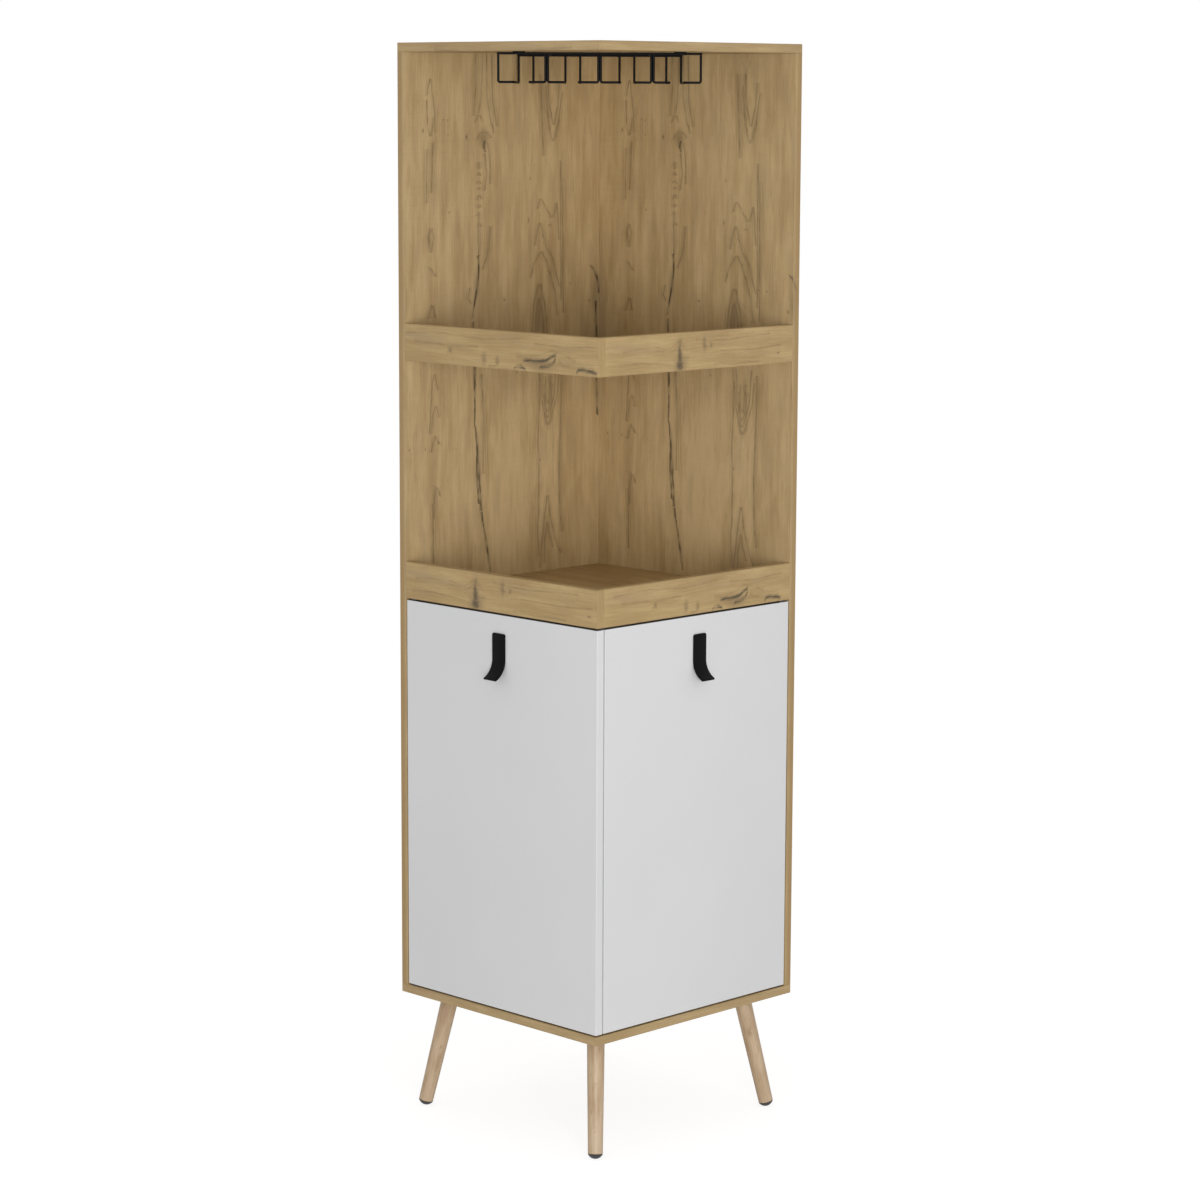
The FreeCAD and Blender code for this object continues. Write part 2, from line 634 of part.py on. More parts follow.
emit("rack_screws", *rack_screws)
emit("joining_screws", *screws)
emit("dowels", *dowels)
emit("cam_bolts", *cam_bolts)
emit("cam_locks", *cam_locks)
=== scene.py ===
"""Corner bar cabinet: its finishes, small fittings, light and camera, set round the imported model."""
import math

import bpy
import numpy as np
from mathutils import Matrix, Vector


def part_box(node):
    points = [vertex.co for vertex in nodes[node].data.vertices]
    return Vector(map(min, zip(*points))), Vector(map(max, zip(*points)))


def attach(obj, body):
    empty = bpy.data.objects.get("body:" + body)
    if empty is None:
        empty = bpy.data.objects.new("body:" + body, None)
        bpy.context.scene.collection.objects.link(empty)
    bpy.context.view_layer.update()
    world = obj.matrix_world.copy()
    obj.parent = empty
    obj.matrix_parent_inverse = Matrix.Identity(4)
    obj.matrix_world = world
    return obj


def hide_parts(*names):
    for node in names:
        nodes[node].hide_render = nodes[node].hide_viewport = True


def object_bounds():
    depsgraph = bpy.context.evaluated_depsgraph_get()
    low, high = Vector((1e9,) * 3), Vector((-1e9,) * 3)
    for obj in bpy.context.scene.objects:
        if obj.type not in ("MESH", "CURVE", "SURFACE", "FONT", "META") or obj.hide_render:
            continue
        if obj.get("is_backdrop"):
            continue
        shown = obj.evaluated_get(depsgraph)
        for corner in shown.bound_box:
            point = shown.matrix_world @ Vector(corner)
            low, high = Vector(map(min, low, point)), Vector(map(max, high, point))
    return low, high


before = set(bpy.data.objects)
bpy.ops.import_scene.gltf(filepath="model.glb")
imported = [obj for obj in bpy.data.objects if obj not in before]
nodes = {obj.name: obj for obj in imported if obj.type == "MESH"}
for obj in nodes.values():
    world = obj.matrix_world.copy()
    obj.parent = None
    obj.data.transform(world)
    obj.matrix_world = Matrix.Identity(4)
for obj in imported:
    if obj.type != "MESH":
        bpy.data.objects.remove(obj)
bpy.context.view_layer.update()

MM = 1000.0             # millimetres in a metre


def rgb(red, green, blue):
    """A colour as it shows on a screen, 0 to 255, turned into the linear values that a shader takes."""
    share = np.array((red, green, blue)) / 255
    linear = np.where(share <= 0.04045, share / 12.92, ((share + 0.055) / 1.055) ** 2.4)
    return (*linear.tolist(), 1.0)


# Finishes as formulas
class Field:
    """A number or colour that varies over a surface; sums of fields become Math nodes of their finish."""

    def __init__(self, finish, socket):
        self.finish = finish
        self.socket = socket

    def math(self, operation, *others):
        return self.finish.math(operation, self, *others)

    def __add__(self, other):
        return self.math("ADD", other)

    def __sub__(self, other):
        return self.math("SUBTRACT", other)

    def __rsub__(self, other):
        return self.finish.math("SUBTRACT", other, self)

    def __mul__(self, other):
        return self.math("MULTIPLY", other)

    def __truediv__(self, other):
        return self.math("DIVIDE", other)

    def __abs__(self):
        return self.math("ABSOLUTE")

    __radd__ = __add__

    def fit(self, scale, shift):
        """Scaled and then shifted, each by a number or a field."""
        return self.math("MULTIPLY_ADD", scale, shift)

    def swing(self, size):
        """Noise about 0.5 turned into a swing about 0, of a size."""
        return (self - 0.5) * size

    def root(self):
        return self.math("SQRT")

    def least(self, other):
        return self if other is None else self.math("MINIMUM", other)

    def most(self, other):
        return self.math("MAXIMUM", other)

    def step(self, start, end):
        """0 at start and 1 at end, with an eased slope between them."""
        inputs = (self, start, end, 0.0, 1.0)
        node = self.finish.node("MapRange", inputs, interpolation_type="SMOOTHSTEP")
        return Field(self.finish, node.outputs[0])


def nearest(distances):
    """The least of some distances, or None where there are none."""
    least = None
    for distance in distances:
        least = distance.least(least)
    return least


class Finish:
    """One material. Its x, y and z are the place on the piece in mm, in the frame of the model."""

    def __init__(self, name):
        self.material = bpy.data.materials.new(name)
        self.material.use_nodes = True
        self.nodes = self.material.node_tree.nodes
        self.links = self.material.node_tree.links
        self.shader = self.nodes["Principled BSDF"]
        self.spot = Field(self, self.node("TexCoord").outputs["Object"])
        self.x, self.y, self.z = (part * MM for part in self.split(self.spot))

    def node(self, kind, inputs=(), **settings):
        """A new node with its inputs fed in order."""
        node = self.nodes.new("ShaderNode" + kind)
        for key, value in settings.items():
            setattr(node, key, value)
        for socket, value in zip(node.inputs, inputs):
            self.feed(socket, value)
        return node

    def feed(self, socket, value):
        if isinstance(value, Field):
            self.links.new(value.socket, socket)
        elif value is not None:
            socket.default_value = value

    def math(self, operation, *inputs):
        return Field(self, self.node("Math", inputs, operation=operation).outputs[0])

    def split(self, vector):
        return [Field(self, output) for output in self.node("SeparateXYZ", (vector,)).outputs]

    def place(self, *parts):
        return Field(self, self.node("CombineXYZ", parts).outputs[0])

    def noise(self, *parts, detail=2.0, rough=0.5):
        """Smooth noise about 0.5, at a place given in its own grain sizes."""
        return self.cloud(self.place(*parts), 1.0, detail, rough)

    def cloud(self, spot, scale, detail=2.0, rough=0.5):
        """Smooth noise about 0.5 over a whole place, with so many grains to its unit."""
        node = self.node("TexNoise", (spot, None, scale, detail, rough))
        return Field(self, node.outputs[0])

    def curve(self, place, points, straight=False):
        """Curve through points of (place, height), smooth or with straight lines between them."""
        node = self.node("FloatCurve", (1.0, place))
        knobs = node.mapping.curves[0].points
        for _ in points[2:]:
            knobs.new(0.5, 0.5)
        for knob, point in zip(knobs, points):
            knob.location = point
            if straight:
                knob.handle_type = "VECTOR"
        node.mapping.update()
        return Field(self, node.outputs[0])

    def blend(self, share, under, over):
        """One colour laid over another."""
        node = self.node("Mix", data_type="RGBA")
        for index, value in ((0, share), (6, under), (7, over)):
            self.feed(node.inputs[index], value)
        return Field(self, node.outputs[2])

    def edge(self, low, high):
        """Distance in mm, along a board's surface, from its nearest edge."""
        gaps = []
        for here, a, b in zip((self.x, self.y, self.z), low, high):
            gaps.append((b - a) * MM / 2 - abs(here - (a + b) * MM / 2))
        near = gaps[0].least(gaps[1]).least(gaps[2])
        far = gaps[0].most(gaps[1]).most(gaps[2])
        return gaps[0] + gaps[1] + gaps[2] - near - far

    def paint(self, colour, roughness, relief=None, depth=0.1, gloss=0.5, metal=0.0):
        """Feed the shader: colour, roughness, relief of a depth in mm, and gloss and metal all over."""
        self.feed(self.shader.inputs["Base Color"], colour)
        self.feed(self.shader.inputs["Roughness"], roughness)
        if relief is not None:
            bump = self.node("Bump")
            self.feed(bump.inputs["Height"], relief)
            bump.inputs["Distance"].default_value = depth / MM
            self.links.new(bump.outputs[0], self.shader.inputs["Normal"])
        self.shader.inputs["Specular IOR Level"].default_value = gloss
        self.shader.inputs["Metallic"].default_value = metal
        return self.material


def dress(name, material):
    nodes[name].material_slots[0].material = material


def show(piece):
    bpy.context.scene.collection.objects.link(piece)


# Oak print
OAK_PALE = rgb(197, 172, 128)
OAK_DEEP = rgb(168, 142, 100)
OAK_WARM = rgb(157, 128, 83)
OAK_GREY = rgb(172, 149, 114)
OAK_LINE = rgb(98, 80, 53)
OAK_STAIN = rgb(100, 82, 56)
OAK_SPLIT = rgb(56, 46, 34)
OAK_GLOSS = 0.42
OAK_RELIEF = 0.12       # mm

# Sizes of the grain, mm across and along it
SWAY, SHIVER = (75, 260), (7, 22)
BROAD, BAND, STREAK = (46, 170), (14, 230), (2.2, 70)
FIBRE, PORE = (0.9, 40), (0.6, 11)
HUE, PATCH, FADE, VEIN = (26, 110), (26, 70), (9, 24), (12, 420)
HUE_START = 7.0         # grains along, so that the hues don't follow the patches
RING, RING_RUN = 6.5, 900

# How strongly each tint is laid on
WARM_CLOUD, GREY_CLOUD = 0.35, 0.45
FIBRE_INK, PORE_INK = 0.3, 0.16
ARCH_INK, VEIN_INK = 0.4, 0.3
LINE_SIDE_INK, CRACK_SIDE_INK = 0.3, 0.24
# the first is the strength of the painted shade at the back corner
PAINTED_SHADE_INK, SPLINTER_INK = 0.22, 0.5
KNOT_SIDE_INK, KNOT_INK = 0.2, 0.5
SEAM_INK, SIDE_INK, WORN_INK = 0.3, 0.85, 0.18

# Reach of the marks: mm, but in their own sizes for knots
LINE_HALF, LINE_SIDE = 1.6, 7.0
CRACK_HALF, CRACK_SIDE = 1.5, 6.0
SPLINTER_OFF = 2.6      # mm from a crack to the splinters beside it
KNOT_REACH = 3.6
PIN = (1.2, 1.6)        # half width and half length of a pin knot
END_BAND = (0.45, 0.15)     # mm under an end face where its own band starts and is full
SIDE_BAND = (0.6, 0.2)
SEAM_IN = 1.0           # mm from an edge to the seam of its band

# Lines that share a row keep a gap, and jump outside the print between them, all in mm
LINE_GAP, LINE_JUMP = 4, 0.5
OUTSIDE, PRINT_SPAN = -60.0, 560.0


def rows_of(lines, first, last):
    """Lines threaded on rows. Those on one row don't meet along the grain."""
    rows = []
    for line in sorted(lines):
        row = next((row for row in rows if row[-1][0] < line[0][0] - LINE_GAP), None)
        if row is None:
            row = [(first, OUTSIDE)]
            rows.append(row)
        row += [(line[0][0] - LINE_JUMP, OUTSIDE), *line, (line[-1][0] + LINE_JUMP, OUTSIDE)]
    return [[*row, (last, OUTSIDE)] for row in rows]


class Print:
    """What one oak print shows besides its plain grain, in mm."""

    def __init__(self, hearts, knots=(), pins=(), stains=(), lines=(), cracks=(), painted_shades=(), painted_lights=()):
        self.hearts = hearts        # middle across, ease, rise, and places along with their share of the rise
        self.knots = knots          # across, along, half width, half length, swell of the rings
        self.pins = pins            # across, along
        self.stains = stains        # across, along, half width, half length
        self.lines = lines          # first and last place along, and lines as places along and across
        self.cracks = cracks        # as the lines
        # painted shade: broad dark clouds at the back corner
        self.painted_shades = painted_shades        # broad dark clouds, as the stains
        # painted light: broad pale clouds in the lower bay
        self.painted_lights = painted_lights        # broad pale clouds, as the stains, and a strength


class Oak(Finish):
    """Oak print on one board, p across its grain and q along it. A direction is an axis, zero and scale."""

    def __init__(self, name, across, along, deep):
        super().__init__("oak_" + name)
        self.low, self.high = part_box(name)
        self.axes = {"x": self.x, "y": self.y, "z": self.z}
        self.lay(across, along, deep)

    def run(self, axis, zero=0.0, scale=1.0):
        """Distance in mm along an axis."""
        return (self.axes[axis] - zero) * scale

    def ends(self, axis, start, full):
        """1 on the two faces that end the board along an axis, eased from a start to a full depth in mm."""
        index = "xyz".index(axis)
        low, high = self.low[index], self.high[index]
        half = (high - low) * MM / 2
        return abs(self.axes[axis] - (high + low) * MM / 2).step(half - start, half - full)

    def lay(self, across, along, deep):
        """Set p and q, swayed by noise. An end face carries its own band, with its grain along the band."""
        end = self.ends(along[0], *END_BAND)
        self.depth = self.run(*deep)
        p = self.run(*across) + self.depth
        q = self.run(*along)
        self.p = p + (self.depth - p) * end
        self.q = q + (self.run(*across) - q) * end
        sway = self.grain(SWAY, 1)
        self.shiver = self.grain(SHIVER, 3)
        self.p = self.p + sway.swing(8) + self.shiver.swing(3.2)
        self.q = self.q + self.shiver.swing(9)

    def grain(self, size, detail=2.0, rough=0.5):
        """Noise drawn out along the grain, of a size across and along it."""
        return self.noise(self.p / size[0], self.q / size[1], detail=detail, rough=rough)

    def oval(self, across, along, wide, tall):
        """Distance from the middle of an oval, 1 on its rim."""
        s = self.p.fit(1 / wide, -across / wide)
        t = self.q.fit(1 / tall, -along / tall)
        return s.fit(s, t * t).root()

    def strands(self, first, last, lines):
        """Distance across the grain from the nearest of many lines, between two places along it."""
        length = last - first
        t = self.q.fit(1 / length, -first / length)
        inward = self.p - OUTSIDE
        gaps = None
        for row in rows_of(lines, first, last):
            points = [((at - first) / length, (across - OUTSIDE) / PRINT_SPAN) for at, across in row]
            gaps = abs(self.curve(t, points, straight=True).fit(-PRINT_SPAN, inward)).least(gaps)
        return gaps

    def rise(self, points):
        """Smooth share of a heart's rise, along the grain."""
        first, last = points[0][0], points[-1][0]
        shares = [((at - first) / (last - first), share) for at, share in points]
        return self.curve((self.q - first) / (last - first), shares)

    def place_marks(self, prints):
        """Rings are the distance from the nearest heart line, eased at the line, plus a rise along it.

        So lines of equal rings draw arches, and each knot swells them. The other marks are plain distances.
        """
        self.rings = self.reach = self.knot = None
        for middle, ease, rise, points in prints.hearts:
            off = self.p - middle
            wide = (off * off + ease * ease).root()
            self.rings = (wide + self.rise(points) * rise).least(self.rings)
            self.reach = wide.least(self.reach)
        for *place, swell in prints.knots:
            far = self.oval(*place)
            self.rings = self.rings + far.step(KNOT_REACH, 0) * swell
            self.knot = far.least(self.knot)
        for across, along in prints.pins:
            self.knot = self.oval(across, along, *PIN).least(self.knot)
        self.stain = nearest(self.oval(*place) for place in prints.stains)
        self.line = nearest(self.strands(*stretch) for stretch in prints.lines)
        self.crack = nearest(self.strands(*stretch) for stretch in prints.cracks)

    def lay_on(self, share, tint):
        self.colour = self.blend(share, self.colour, tint)

    def draw_grain(self, shade, painted_lights):
        """Deep to pale by a sum of broad bands, bands and streaks, lifted by painted light; then clouds of
        hue, fibres and pores.
        """
        self.ring = self.noise(self.rings / RING, self.q / RING_RUN)
        broad = self.grain(BROAD, 3)
        self.band = self.grain(BAND, 3)
        self.streak = self.grain(STREAK, 4, 0.6)
        fibre = self.grain(FIBRE, 3, 0.65).step(0.48, 0.74)
        self.pore = self.grain(PORE).step(0.56, 0.72)
        tone = broad * 0.4 + self.band * 0.31 + self.streak * 0.29
        # painted light: pale clouds lift the tone
        for *place, strength in painted_lights:
            tone = self.oval(*place).step(1.0, 0.0).fit(strength, tone)
        tone = tone.step(0.35, 0.65)
        deep, pale = ([*np.multiply(tint[:3], shade), 1.0] for tint in (OAK_DEEP, OAK_PALE))
        self.colour = self.blend(tone, deep, pale)
        hue = self.noise(self.p / HUE[0], self.q / HUE[1] + HUE_START)
        self.lay_on(hue.step(0.5, 0.8) * WARM_CLOUD, OAK_WARM)
        self.lay_on(hue.step(0.5, 0.25) * GREY_CLOUD, OAK_GREY)
        self.lay_on(fibre * FIBRE_INK, OAK_WARM)
        self.lay_on(self.pore * PORE_INK, OAK_LINE)

    def draw_lines(self, ink):
        """Arches where the rings cross their middle, veins, and dark lines with a soft side and echoes.

        An echo is a sine of the distance from a line, and noise along the grain makes the line itself ragged.
        """
        self.patch = self.grain(PATCH).step(0.36, 0.66)
        self.fade = self.grain(FADE, 1).step(0.3, 0.62)
        vein = abs(self.grain(VEIN) - 0.5).step(0.02, 0.0)
        arch = abs(self.ring - 0.5).step(0.06, 0.0) * self.reach.step(52, 14) * ARCH_INK
        self.pencil = arch.most(vein * VEIN_INK) * self.patch
        soft = (self.line + self.band.swing(9)).step(LINE_SIDE, 0.0)
        self.lay_on(soft * ink * LINE_SIDE_INK, OAK_LINE)
        echo = (self.line * 1.3 + self.band.swing(7)).math("SINE") * self.line.step(14, 4)
        self.pencil = self.pencil.most(echo.step(0.25, 0.9) * (self.patch * 0.4 + 0.12))
        ragged = self.line + self.streak.swing(3.2) + self.shiver.swing(2.4)
        self.pencil = self.pencil.most(ragged.step(LINE_HALF, 0.0) * (self.fade * 0.7 + 0.3))
        self.lay_on(self.pencil * ink, OAK_LINE)

    def draw_clouds(self, painted_shades):
        """Stains that show the rings, and broad painted shade in plain clouds, both fading out to their rims.
        """
        if self.stain is not None:
            self.lay_on(self.stain.step(1.1, 0.0) * (self.ring * 0.7 + 0.12), OAK_STAIN)
        # painted shade: broad dark clouds laid on in the stain colour
        for place in painted_shades:
            self.lay_on(self.oval(*place).step(1.0, 0.0) * PAINTED_SHADE_INK, OAK_STAIN)

    def draw_cracks(self):
        """Cracks torn by noise, with a brown side and splinters along them."""
        brown = (self.crack + self.band.swing(6)).step(CRACK_SIDE, 0.6)
        self.lay_on(brown * CRACK_SIDE_INK, OAK_STAIN)
        beside = abs(self.crack - SPLINTER_OFF + self.streak.swing(4))
        splinter = beside.step(0.9, 0.2) * self.patch * SPLINTER_INK
        torn = self.crack + self.streak.swing(2.6) + self.shiver.swing(2.6)
        torn = torn + self.pore * 1.2 - self.fade * 1.6
        self.lay_on(splinter.most(torn.step(CRACK_HALF, -0.6) * (self.fade * 0.4 + 0.42)), OAK_SPLIT)

    def draw_knots(self):
        """Dark knots with a brown rim, both made loose by noise."""
        if self.knot is None:
            return
        loose = self.knot + self.shiver.swing(1.4)
        self.lay_on(loose.step(2.6, 0.8) * KNOT_SIDE_INK, OAK_STAIN)
        self.lay_on(loose.step(1.0, 0.5) * KNOT_INK, OAK_SPLIT)

    def draw_edges(self, warm_axis):
        """A fine seam beside each edge, a worn arris, and warm bands on the ends of an axis, if named."""
        edge = self.edge(self.low, self.high)
        self.seam = abs(edge - SEAM_IN).step(0.35, 0.1)
        self.lay_on(self.seam * SEAM_INK, OAK_LINE)
        if warm_axis:
            side = self.ends(warm_axis, *SIDE_BAND)
            self.lay_on(side * abs(self.depth).step(-4, 9) * SIDE_INK, OAK_WARM)
        self.worn = edge.step(0.9, 0.3) * self.noise(self.q / 14, self.p / 3).step(0.4, 0.7)
        self.lay_on(self.worn * WORN_INK, OAK_PALE)

    def coat(self):
        """The material: rougher in pores and lines, smoother where worn, with pores and seams sunk."""
        roughness = 0.5 + self.pore * 0.12 + self.pencil * 0.06 - self.worn * 0.08
        relief = 0.7 - self.pore * 0.35 - self.seam * 0.4
        return self.paint(self.colour, roughness, relief, OAK_RELIEF, gloss=OAK_GLOSS)


def oak_board(name, across, along, deep, prints, shade, ink, warm_axis=None):
    """One board in oak print, with the shade of its grain and the ink of its lines."""
    oak = Oak(name, across, along, deep)
    oak.place_marks(prints)
    oak.draw_grain(shade, prints.painted_lights)
    oak.draw_lines(ink)
    oak.draw_clouds(prints.painted_shades)
    oak.draw_cracks()
    oak.draw_knots()
    oak.draw_edges(warm_axis)
    dress(name, oak.coat())


# Walls, mm across from the left edge of the print and up from the floor
WALL_SHADE = 1.06
WALL_INK = 0.62
WALL_TOP, UPPER_BAY, COUNTER_BAY, CUPBOARD = 1840, 1308, 900, 380   # where the stretches of the print meet
CORNER_TOP = 1400
INSIDE_DROP = 940.0     # the print repeats behind the doors, this far down
PRINT_SHIFT = 13.0      # the right wall's print starts this far from the back corner
WALL_HEARTS = (
    (176, 12, 60, ((219, 0.0), (900, 0.3), (1300, 0.45), (1540, 0.55), (1660, 0.8), (1825, 1.0))),
    (338, 9, 70, ((219, 0.3), (450, 0.9), (600, 0.8), (800, 0.2), (900, 0.3), (1000, 0.8), (1060, 1.0),
                  (1160, 1.0), (1190, 0.88), (1290, 0.3), (1340, 0.15), (1390, 0.25), (1500, 0.75),
                  (1560, 0.95), (1660, 1.0), (1700, 0.9), (1825, 0.5))),
)
# Short arches in a chain above a crack: tip, half width and height
CHAIN_ACROSS = 173
CHAIN_ARCHES = (
    (1642, 3, 14), (1623, 4, 8), (1609, 5, 6), (1598, 3, 6), (1585, 5, 9), (1569, 4, 8), (1556, 3, 9),
    (1538, 4, 10),
)
CHAIN_LINES = tuple(
    ((tip - tall, CHAIN_ACROSS + way * half), (tip, CHAIN_ACROSS + way / 2))
    for tip, half, tall in CHAIN_ARCHES for way in (-1, 1)
)
WALL_LINES_HIGH = CHAIN_LINES + (
    ((1690, 70), (1720, 71), (1750, 67), (1780, 61)), ((1752, 53), (1768, 56), (1781, 60)),
    ((1683, 60), (1702, 54), (1745, 52)), ((1684, 61), (1700, 66), (1716, 68)),
    ((1570, 52), (1620, 52), (1664, 53)), ((1588, 62), (1632, 64), (1674, 66)),
    ((1488, 62), (1515, 56), (1531, 62)), ((1488, 63), (1514, 68), (1531, 64)),
    ((1446, 74), (1456, 66), (1464, 58)), ((1376, 55), (1401, 63)), ((1376, 70), (1401, 65)),
    ((1722, 172), (1750, 178), (1825, 183)), ((1688, 208), (1712, 200), (1750, 192), (1825, 191)),
    ((1700, 214), (1742, 205), (1825, 204)), ((1716, 160), (1762, 165), (1825, 166)),
    ((1706, 163), (1722, 171)), ((1706, 182), (1722, 173)), ((1680, 204), (1689, 194), (1693, 184)),
    ((1676, 168), (1688, 174), (1693, 183)), ((1590, 186), (1620, 192), (1656, 187)),
    ((1600, 200), (1640, 200), (1674, 193)), ((1396, 155), (1408, 147), (1426, 151)),
    ((1673, 347), (1700, 338), (1770, 330)), ((1673, 348), (1700, 362), (1760, 371)),
    ((1702, 349), (1740, 339), (1792, 336)), ((1702, 351), (1740, 362), (1776, 364)),
    ((1648, 325), (1720, 320), (1792, 318)), ((1556, 311), (1566, 315), (1574, 319)),
    ((1540, 346), (1548, 340), (1566, 327), (1574, 320)), ((1540, 347), (1547, 353), (1566, 358)),
    ((1500, 365), (1545, 362), (1566, 359)), ((1492, 305), (1520, 312), (1533, 318)),
    ((1418, 367), (1435, 362), (1470, 350), (1488, 337), (1515, 325), (1533, 319)),
    ((1436, 296), (1462, 305), (1483, 321)),
    ((1368, 363), (1410, 355), (1440, 345), (1465, 335), (1483, 323)),
    ((1395, 371), (1500, 369), (1642, 368)), ((1372, 377), (1490, 374), (1610, 372)),
    ((1330, 299), (1390, 304), (1428, 317)), ((1330, 336), (1390, 330), (1428, 319)),
    ((1335, 306), (1375, 309), (1402, 316)), ((1335, 327), (1375, 325), (1402, 318)),
    ((1454, 180), (1470, 187), (1495, 195), (1532, 199)), ((1478, 171), (1512, 170), (1547, 173)),
)
WALL_LINES_LOW = (
    ((1180, 56), (1230, 59), (1262, 61), (1281, 67)), ((1252, 75), (1281, 68)),
    ((1178, 59), (1210, 63), (1228, 69)), ((1206, 78), (1228, 70)), ((1146, 60), (1162, 64), (1175, 70)),
    ((1158, 79), (1175, 71)), ((1030, 65), (1070, 67), (1088, 73)), ((1068, 80), (1088, 75)),
    ((950, 63), (1060, 62)), ((1100, 180), (1200, 183), (1275, 178)),
    ((1175, 336), (1190, 330), (1220, 322), (1268, 317)),
    ((1175, 337), (1190, 345), (1225, 358), (1268, 365)),
    ((1187, 336), (1202, 330), (1230, 325), (1290, 322)),
    ((1187, 337), (1202, 343), (1230, 352), (1290, 358)),
    ((1199, 335), (1213, 330), (1250, 328)), ((1199, 337), (1213, 342), (1250, 348)),
    ((1211, 335), (1224, 331), (1262, 331)), ((1211, 337), (1224, 340), (1262, 344)),
    ((940, 316), (1000, 312), (1020, 315), (1100, 316), (1150, 313), (1200, 316), (1290, 315)),
    ((980, 373), (1020, 368), (1100, 366), (1180, 368), (1280, 370)),
    ((922, 317), (960, 322), (1015, 330), (1050, 336)), ((942, 371), (970, 358), (1010, 345), (1050, 338)),
    ((930, 330), (975, 331), (1002, 336)), ((955, 351), (978, 343), (1002, 338)),
)
WALL_CRACKS_HIGH = (
    ((1372, 157), (1405, 164), (1425, 168), (1448, 172), (1482, 170)), ((1330, 161), (1368, 158)),
    ((1402, 464), (1418, 463), (1438, 456), (1450, 447), (1456, 442)),
    ((1656, 189), (1668, 185), (1676, 187)),
)
WALL_CRACKS_LOW = (
    ((1035, 175), (1080, 172), (1110, 170), (1140, 168), (1170, 165), (1190, 162), (1220, 163), (1300, 161)),
    ((925, 197), (950, 192), (985, 185), (1020, 178), (1034, 176)), ((1048, 170), (1090, 167), (1150, 166)),
)
CORNER_CRACKS = (((1325, 459), (1392, 456)), ((1185, 461), (1256, 458)))    # left wall only
WALL_KNOTS = (
    (185, 1666, 3, 5, 9), (44, 1694, 2, 4, 4), (143, 1681, 1.8, 3, 6), (290, 1537, 1.4, 3.4, 3),
    (231, 1402, 2, 2, 2), (441, 1393, 2, 3, 2),
)
WALL_PINS = (
    (89, 1712), (98, 1711), (99, 1687), (102, 1555), (294, 1609), (340, 1527), (345, 1528),
    (375, 1426), (393, 1424), (9, 1154), (46, 1153), (318, 1115), (262, 1273),
)
WALL_STAINS = (
    (316, 1365, 24, 66), (184, 1680, 18, 22), (453, 1410, 14, 55), (167, 1432, 9, 40),
)
# Broad clouds of painted light: painted shade dark at the back corner, painted light pale in the lower bay
LEFT_PAINTED_SHADES = ((463, 1325, 100, 120),)
RIGHT_PAINTED_SHADES = ((-12, 1325, 100, 120),)
LEFT_PAINTED_LIGHTS = ((240, 1090, 210, 200, 0.11),)
RIGHT_PAINTED_LIGHTS = ((250, 1090, 210, 200, 0.2),)
WALL_LINES = (
    (UPPER_BAY, WALL_TOP, WALL_LINES_HIGH), (COUNTER_BAY, UPPER_BAY, WALL_LINES_LOW),
    (CUPBOARD, COUNTER_BAY, [[(up - INSIDE_DROP, over) for up, over in line] for line in WALL_LINES_HIGH]),
)
WALL_CRACKS = ((UPPER_BAY, WALL_TOP, WALL_CRACKS_HIGH), (COUNTER_BAY, UPPER_BAY, WALL_CRACKS_LOW))
LEFT_CRACKS = WALL_CRACKS + ((COUNTER_BAY, CORNER_TOP, CORNER_CRACKS),)
WALL_PRINT = WALL_HEARTS, WALL_KNOTS, WALL_PINS, WALL_STAINS, WALL_LINES
LEFT_PRINT = Print(*WALL_PRINT, LEFT_CRACKS, LEFT_PAINTED_SHADES, LEFT_PAINTED_LIGHTS)
RIGHT_PRINT = Print(*WALL_PRINT, WALL_CRACKS, RIGHT_PAINTED_SHADES, RIGHT_PAINTED_LIGHTS)
carcass_low, carcass_high = (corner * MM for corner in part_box("base_panel"))
inside = ("x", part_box("left_wall")[1].x * MM)
oak_board("left_wall", ("y", carcass_low.y), ("z",), inside, LEFT_PRINT, WALL_SHADE, WALL_INK, "y")
right_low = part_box("right_wall")[0] * MM
start = ("x", right_low.x + PRINT_SHIFT)
oak_board("right_wall", start, ("z",), ("y", right_low.y), RIGHT_PRINT, WALL_SHADE, WALL_INK, "x")

# Rails, mm up from the lower edge and along from the left end of a print, named by its main mark
RAIL_SHADE = (0.935, 0.893, 0.785)
RAIL_INK = 0.3
RAIL_RUN = (0, 520)         # from the first to the last place of the print
RIGHT_RAIL_START = 20.0     # mm from the front corner to the start of the print
RIGHT_RAIL_SCALE = 0.885    # the print is drawn in a little on the shorter rails
RAIL_HEARTS = ((-45, 10, 40, ((-30, 0.3), (90, 0.6), (180, 0.35), (300, 0.75), (400, 0.4), (560, 0.65))),)
HOOK_CRACKS = (
    ((305, 18), (325, 19), (331, 18), (345, 19), (360, 21), (372, 27), (384, 31)),
    ((344, 10), (353, 10), (369, 13), (380, 21), (385, 29)), ((284, 3), (294, 8), (303, 9)),
    ((292, 5), (306, 6), (314, 4)), ((430, 5), (435, 10), (447, 11), (453, 9), (478, 7)),
)
HOOK_LINES = (
    ((388, 22), (400, 15), (420, 12), (440, 14), (472, 12)),
    ((290, 24), (340, 27), (372, 36), (400, 32), (430, 22)), ((118, 19), (128, 23), (136, 22)),
    ((222, 4), (240, 4), (248, 13)), ((20, 48), (110, 51), (210, 47), (300, 52)),
    ((330, 46), (400, 43), (480, 47)), ((40, 34), (130, 31), (200, 34)),
)
HOOK_STAINS = ((15, 212, 16, 9), (14, 244, 11, 8), (25, 130, 8, 6), (14, 345, 16, 46))
TRIANGLE_CRACKS = (((187, 30), (190, 22), (192, 24)), ((184, 14), (189, 10), (196, 13)))
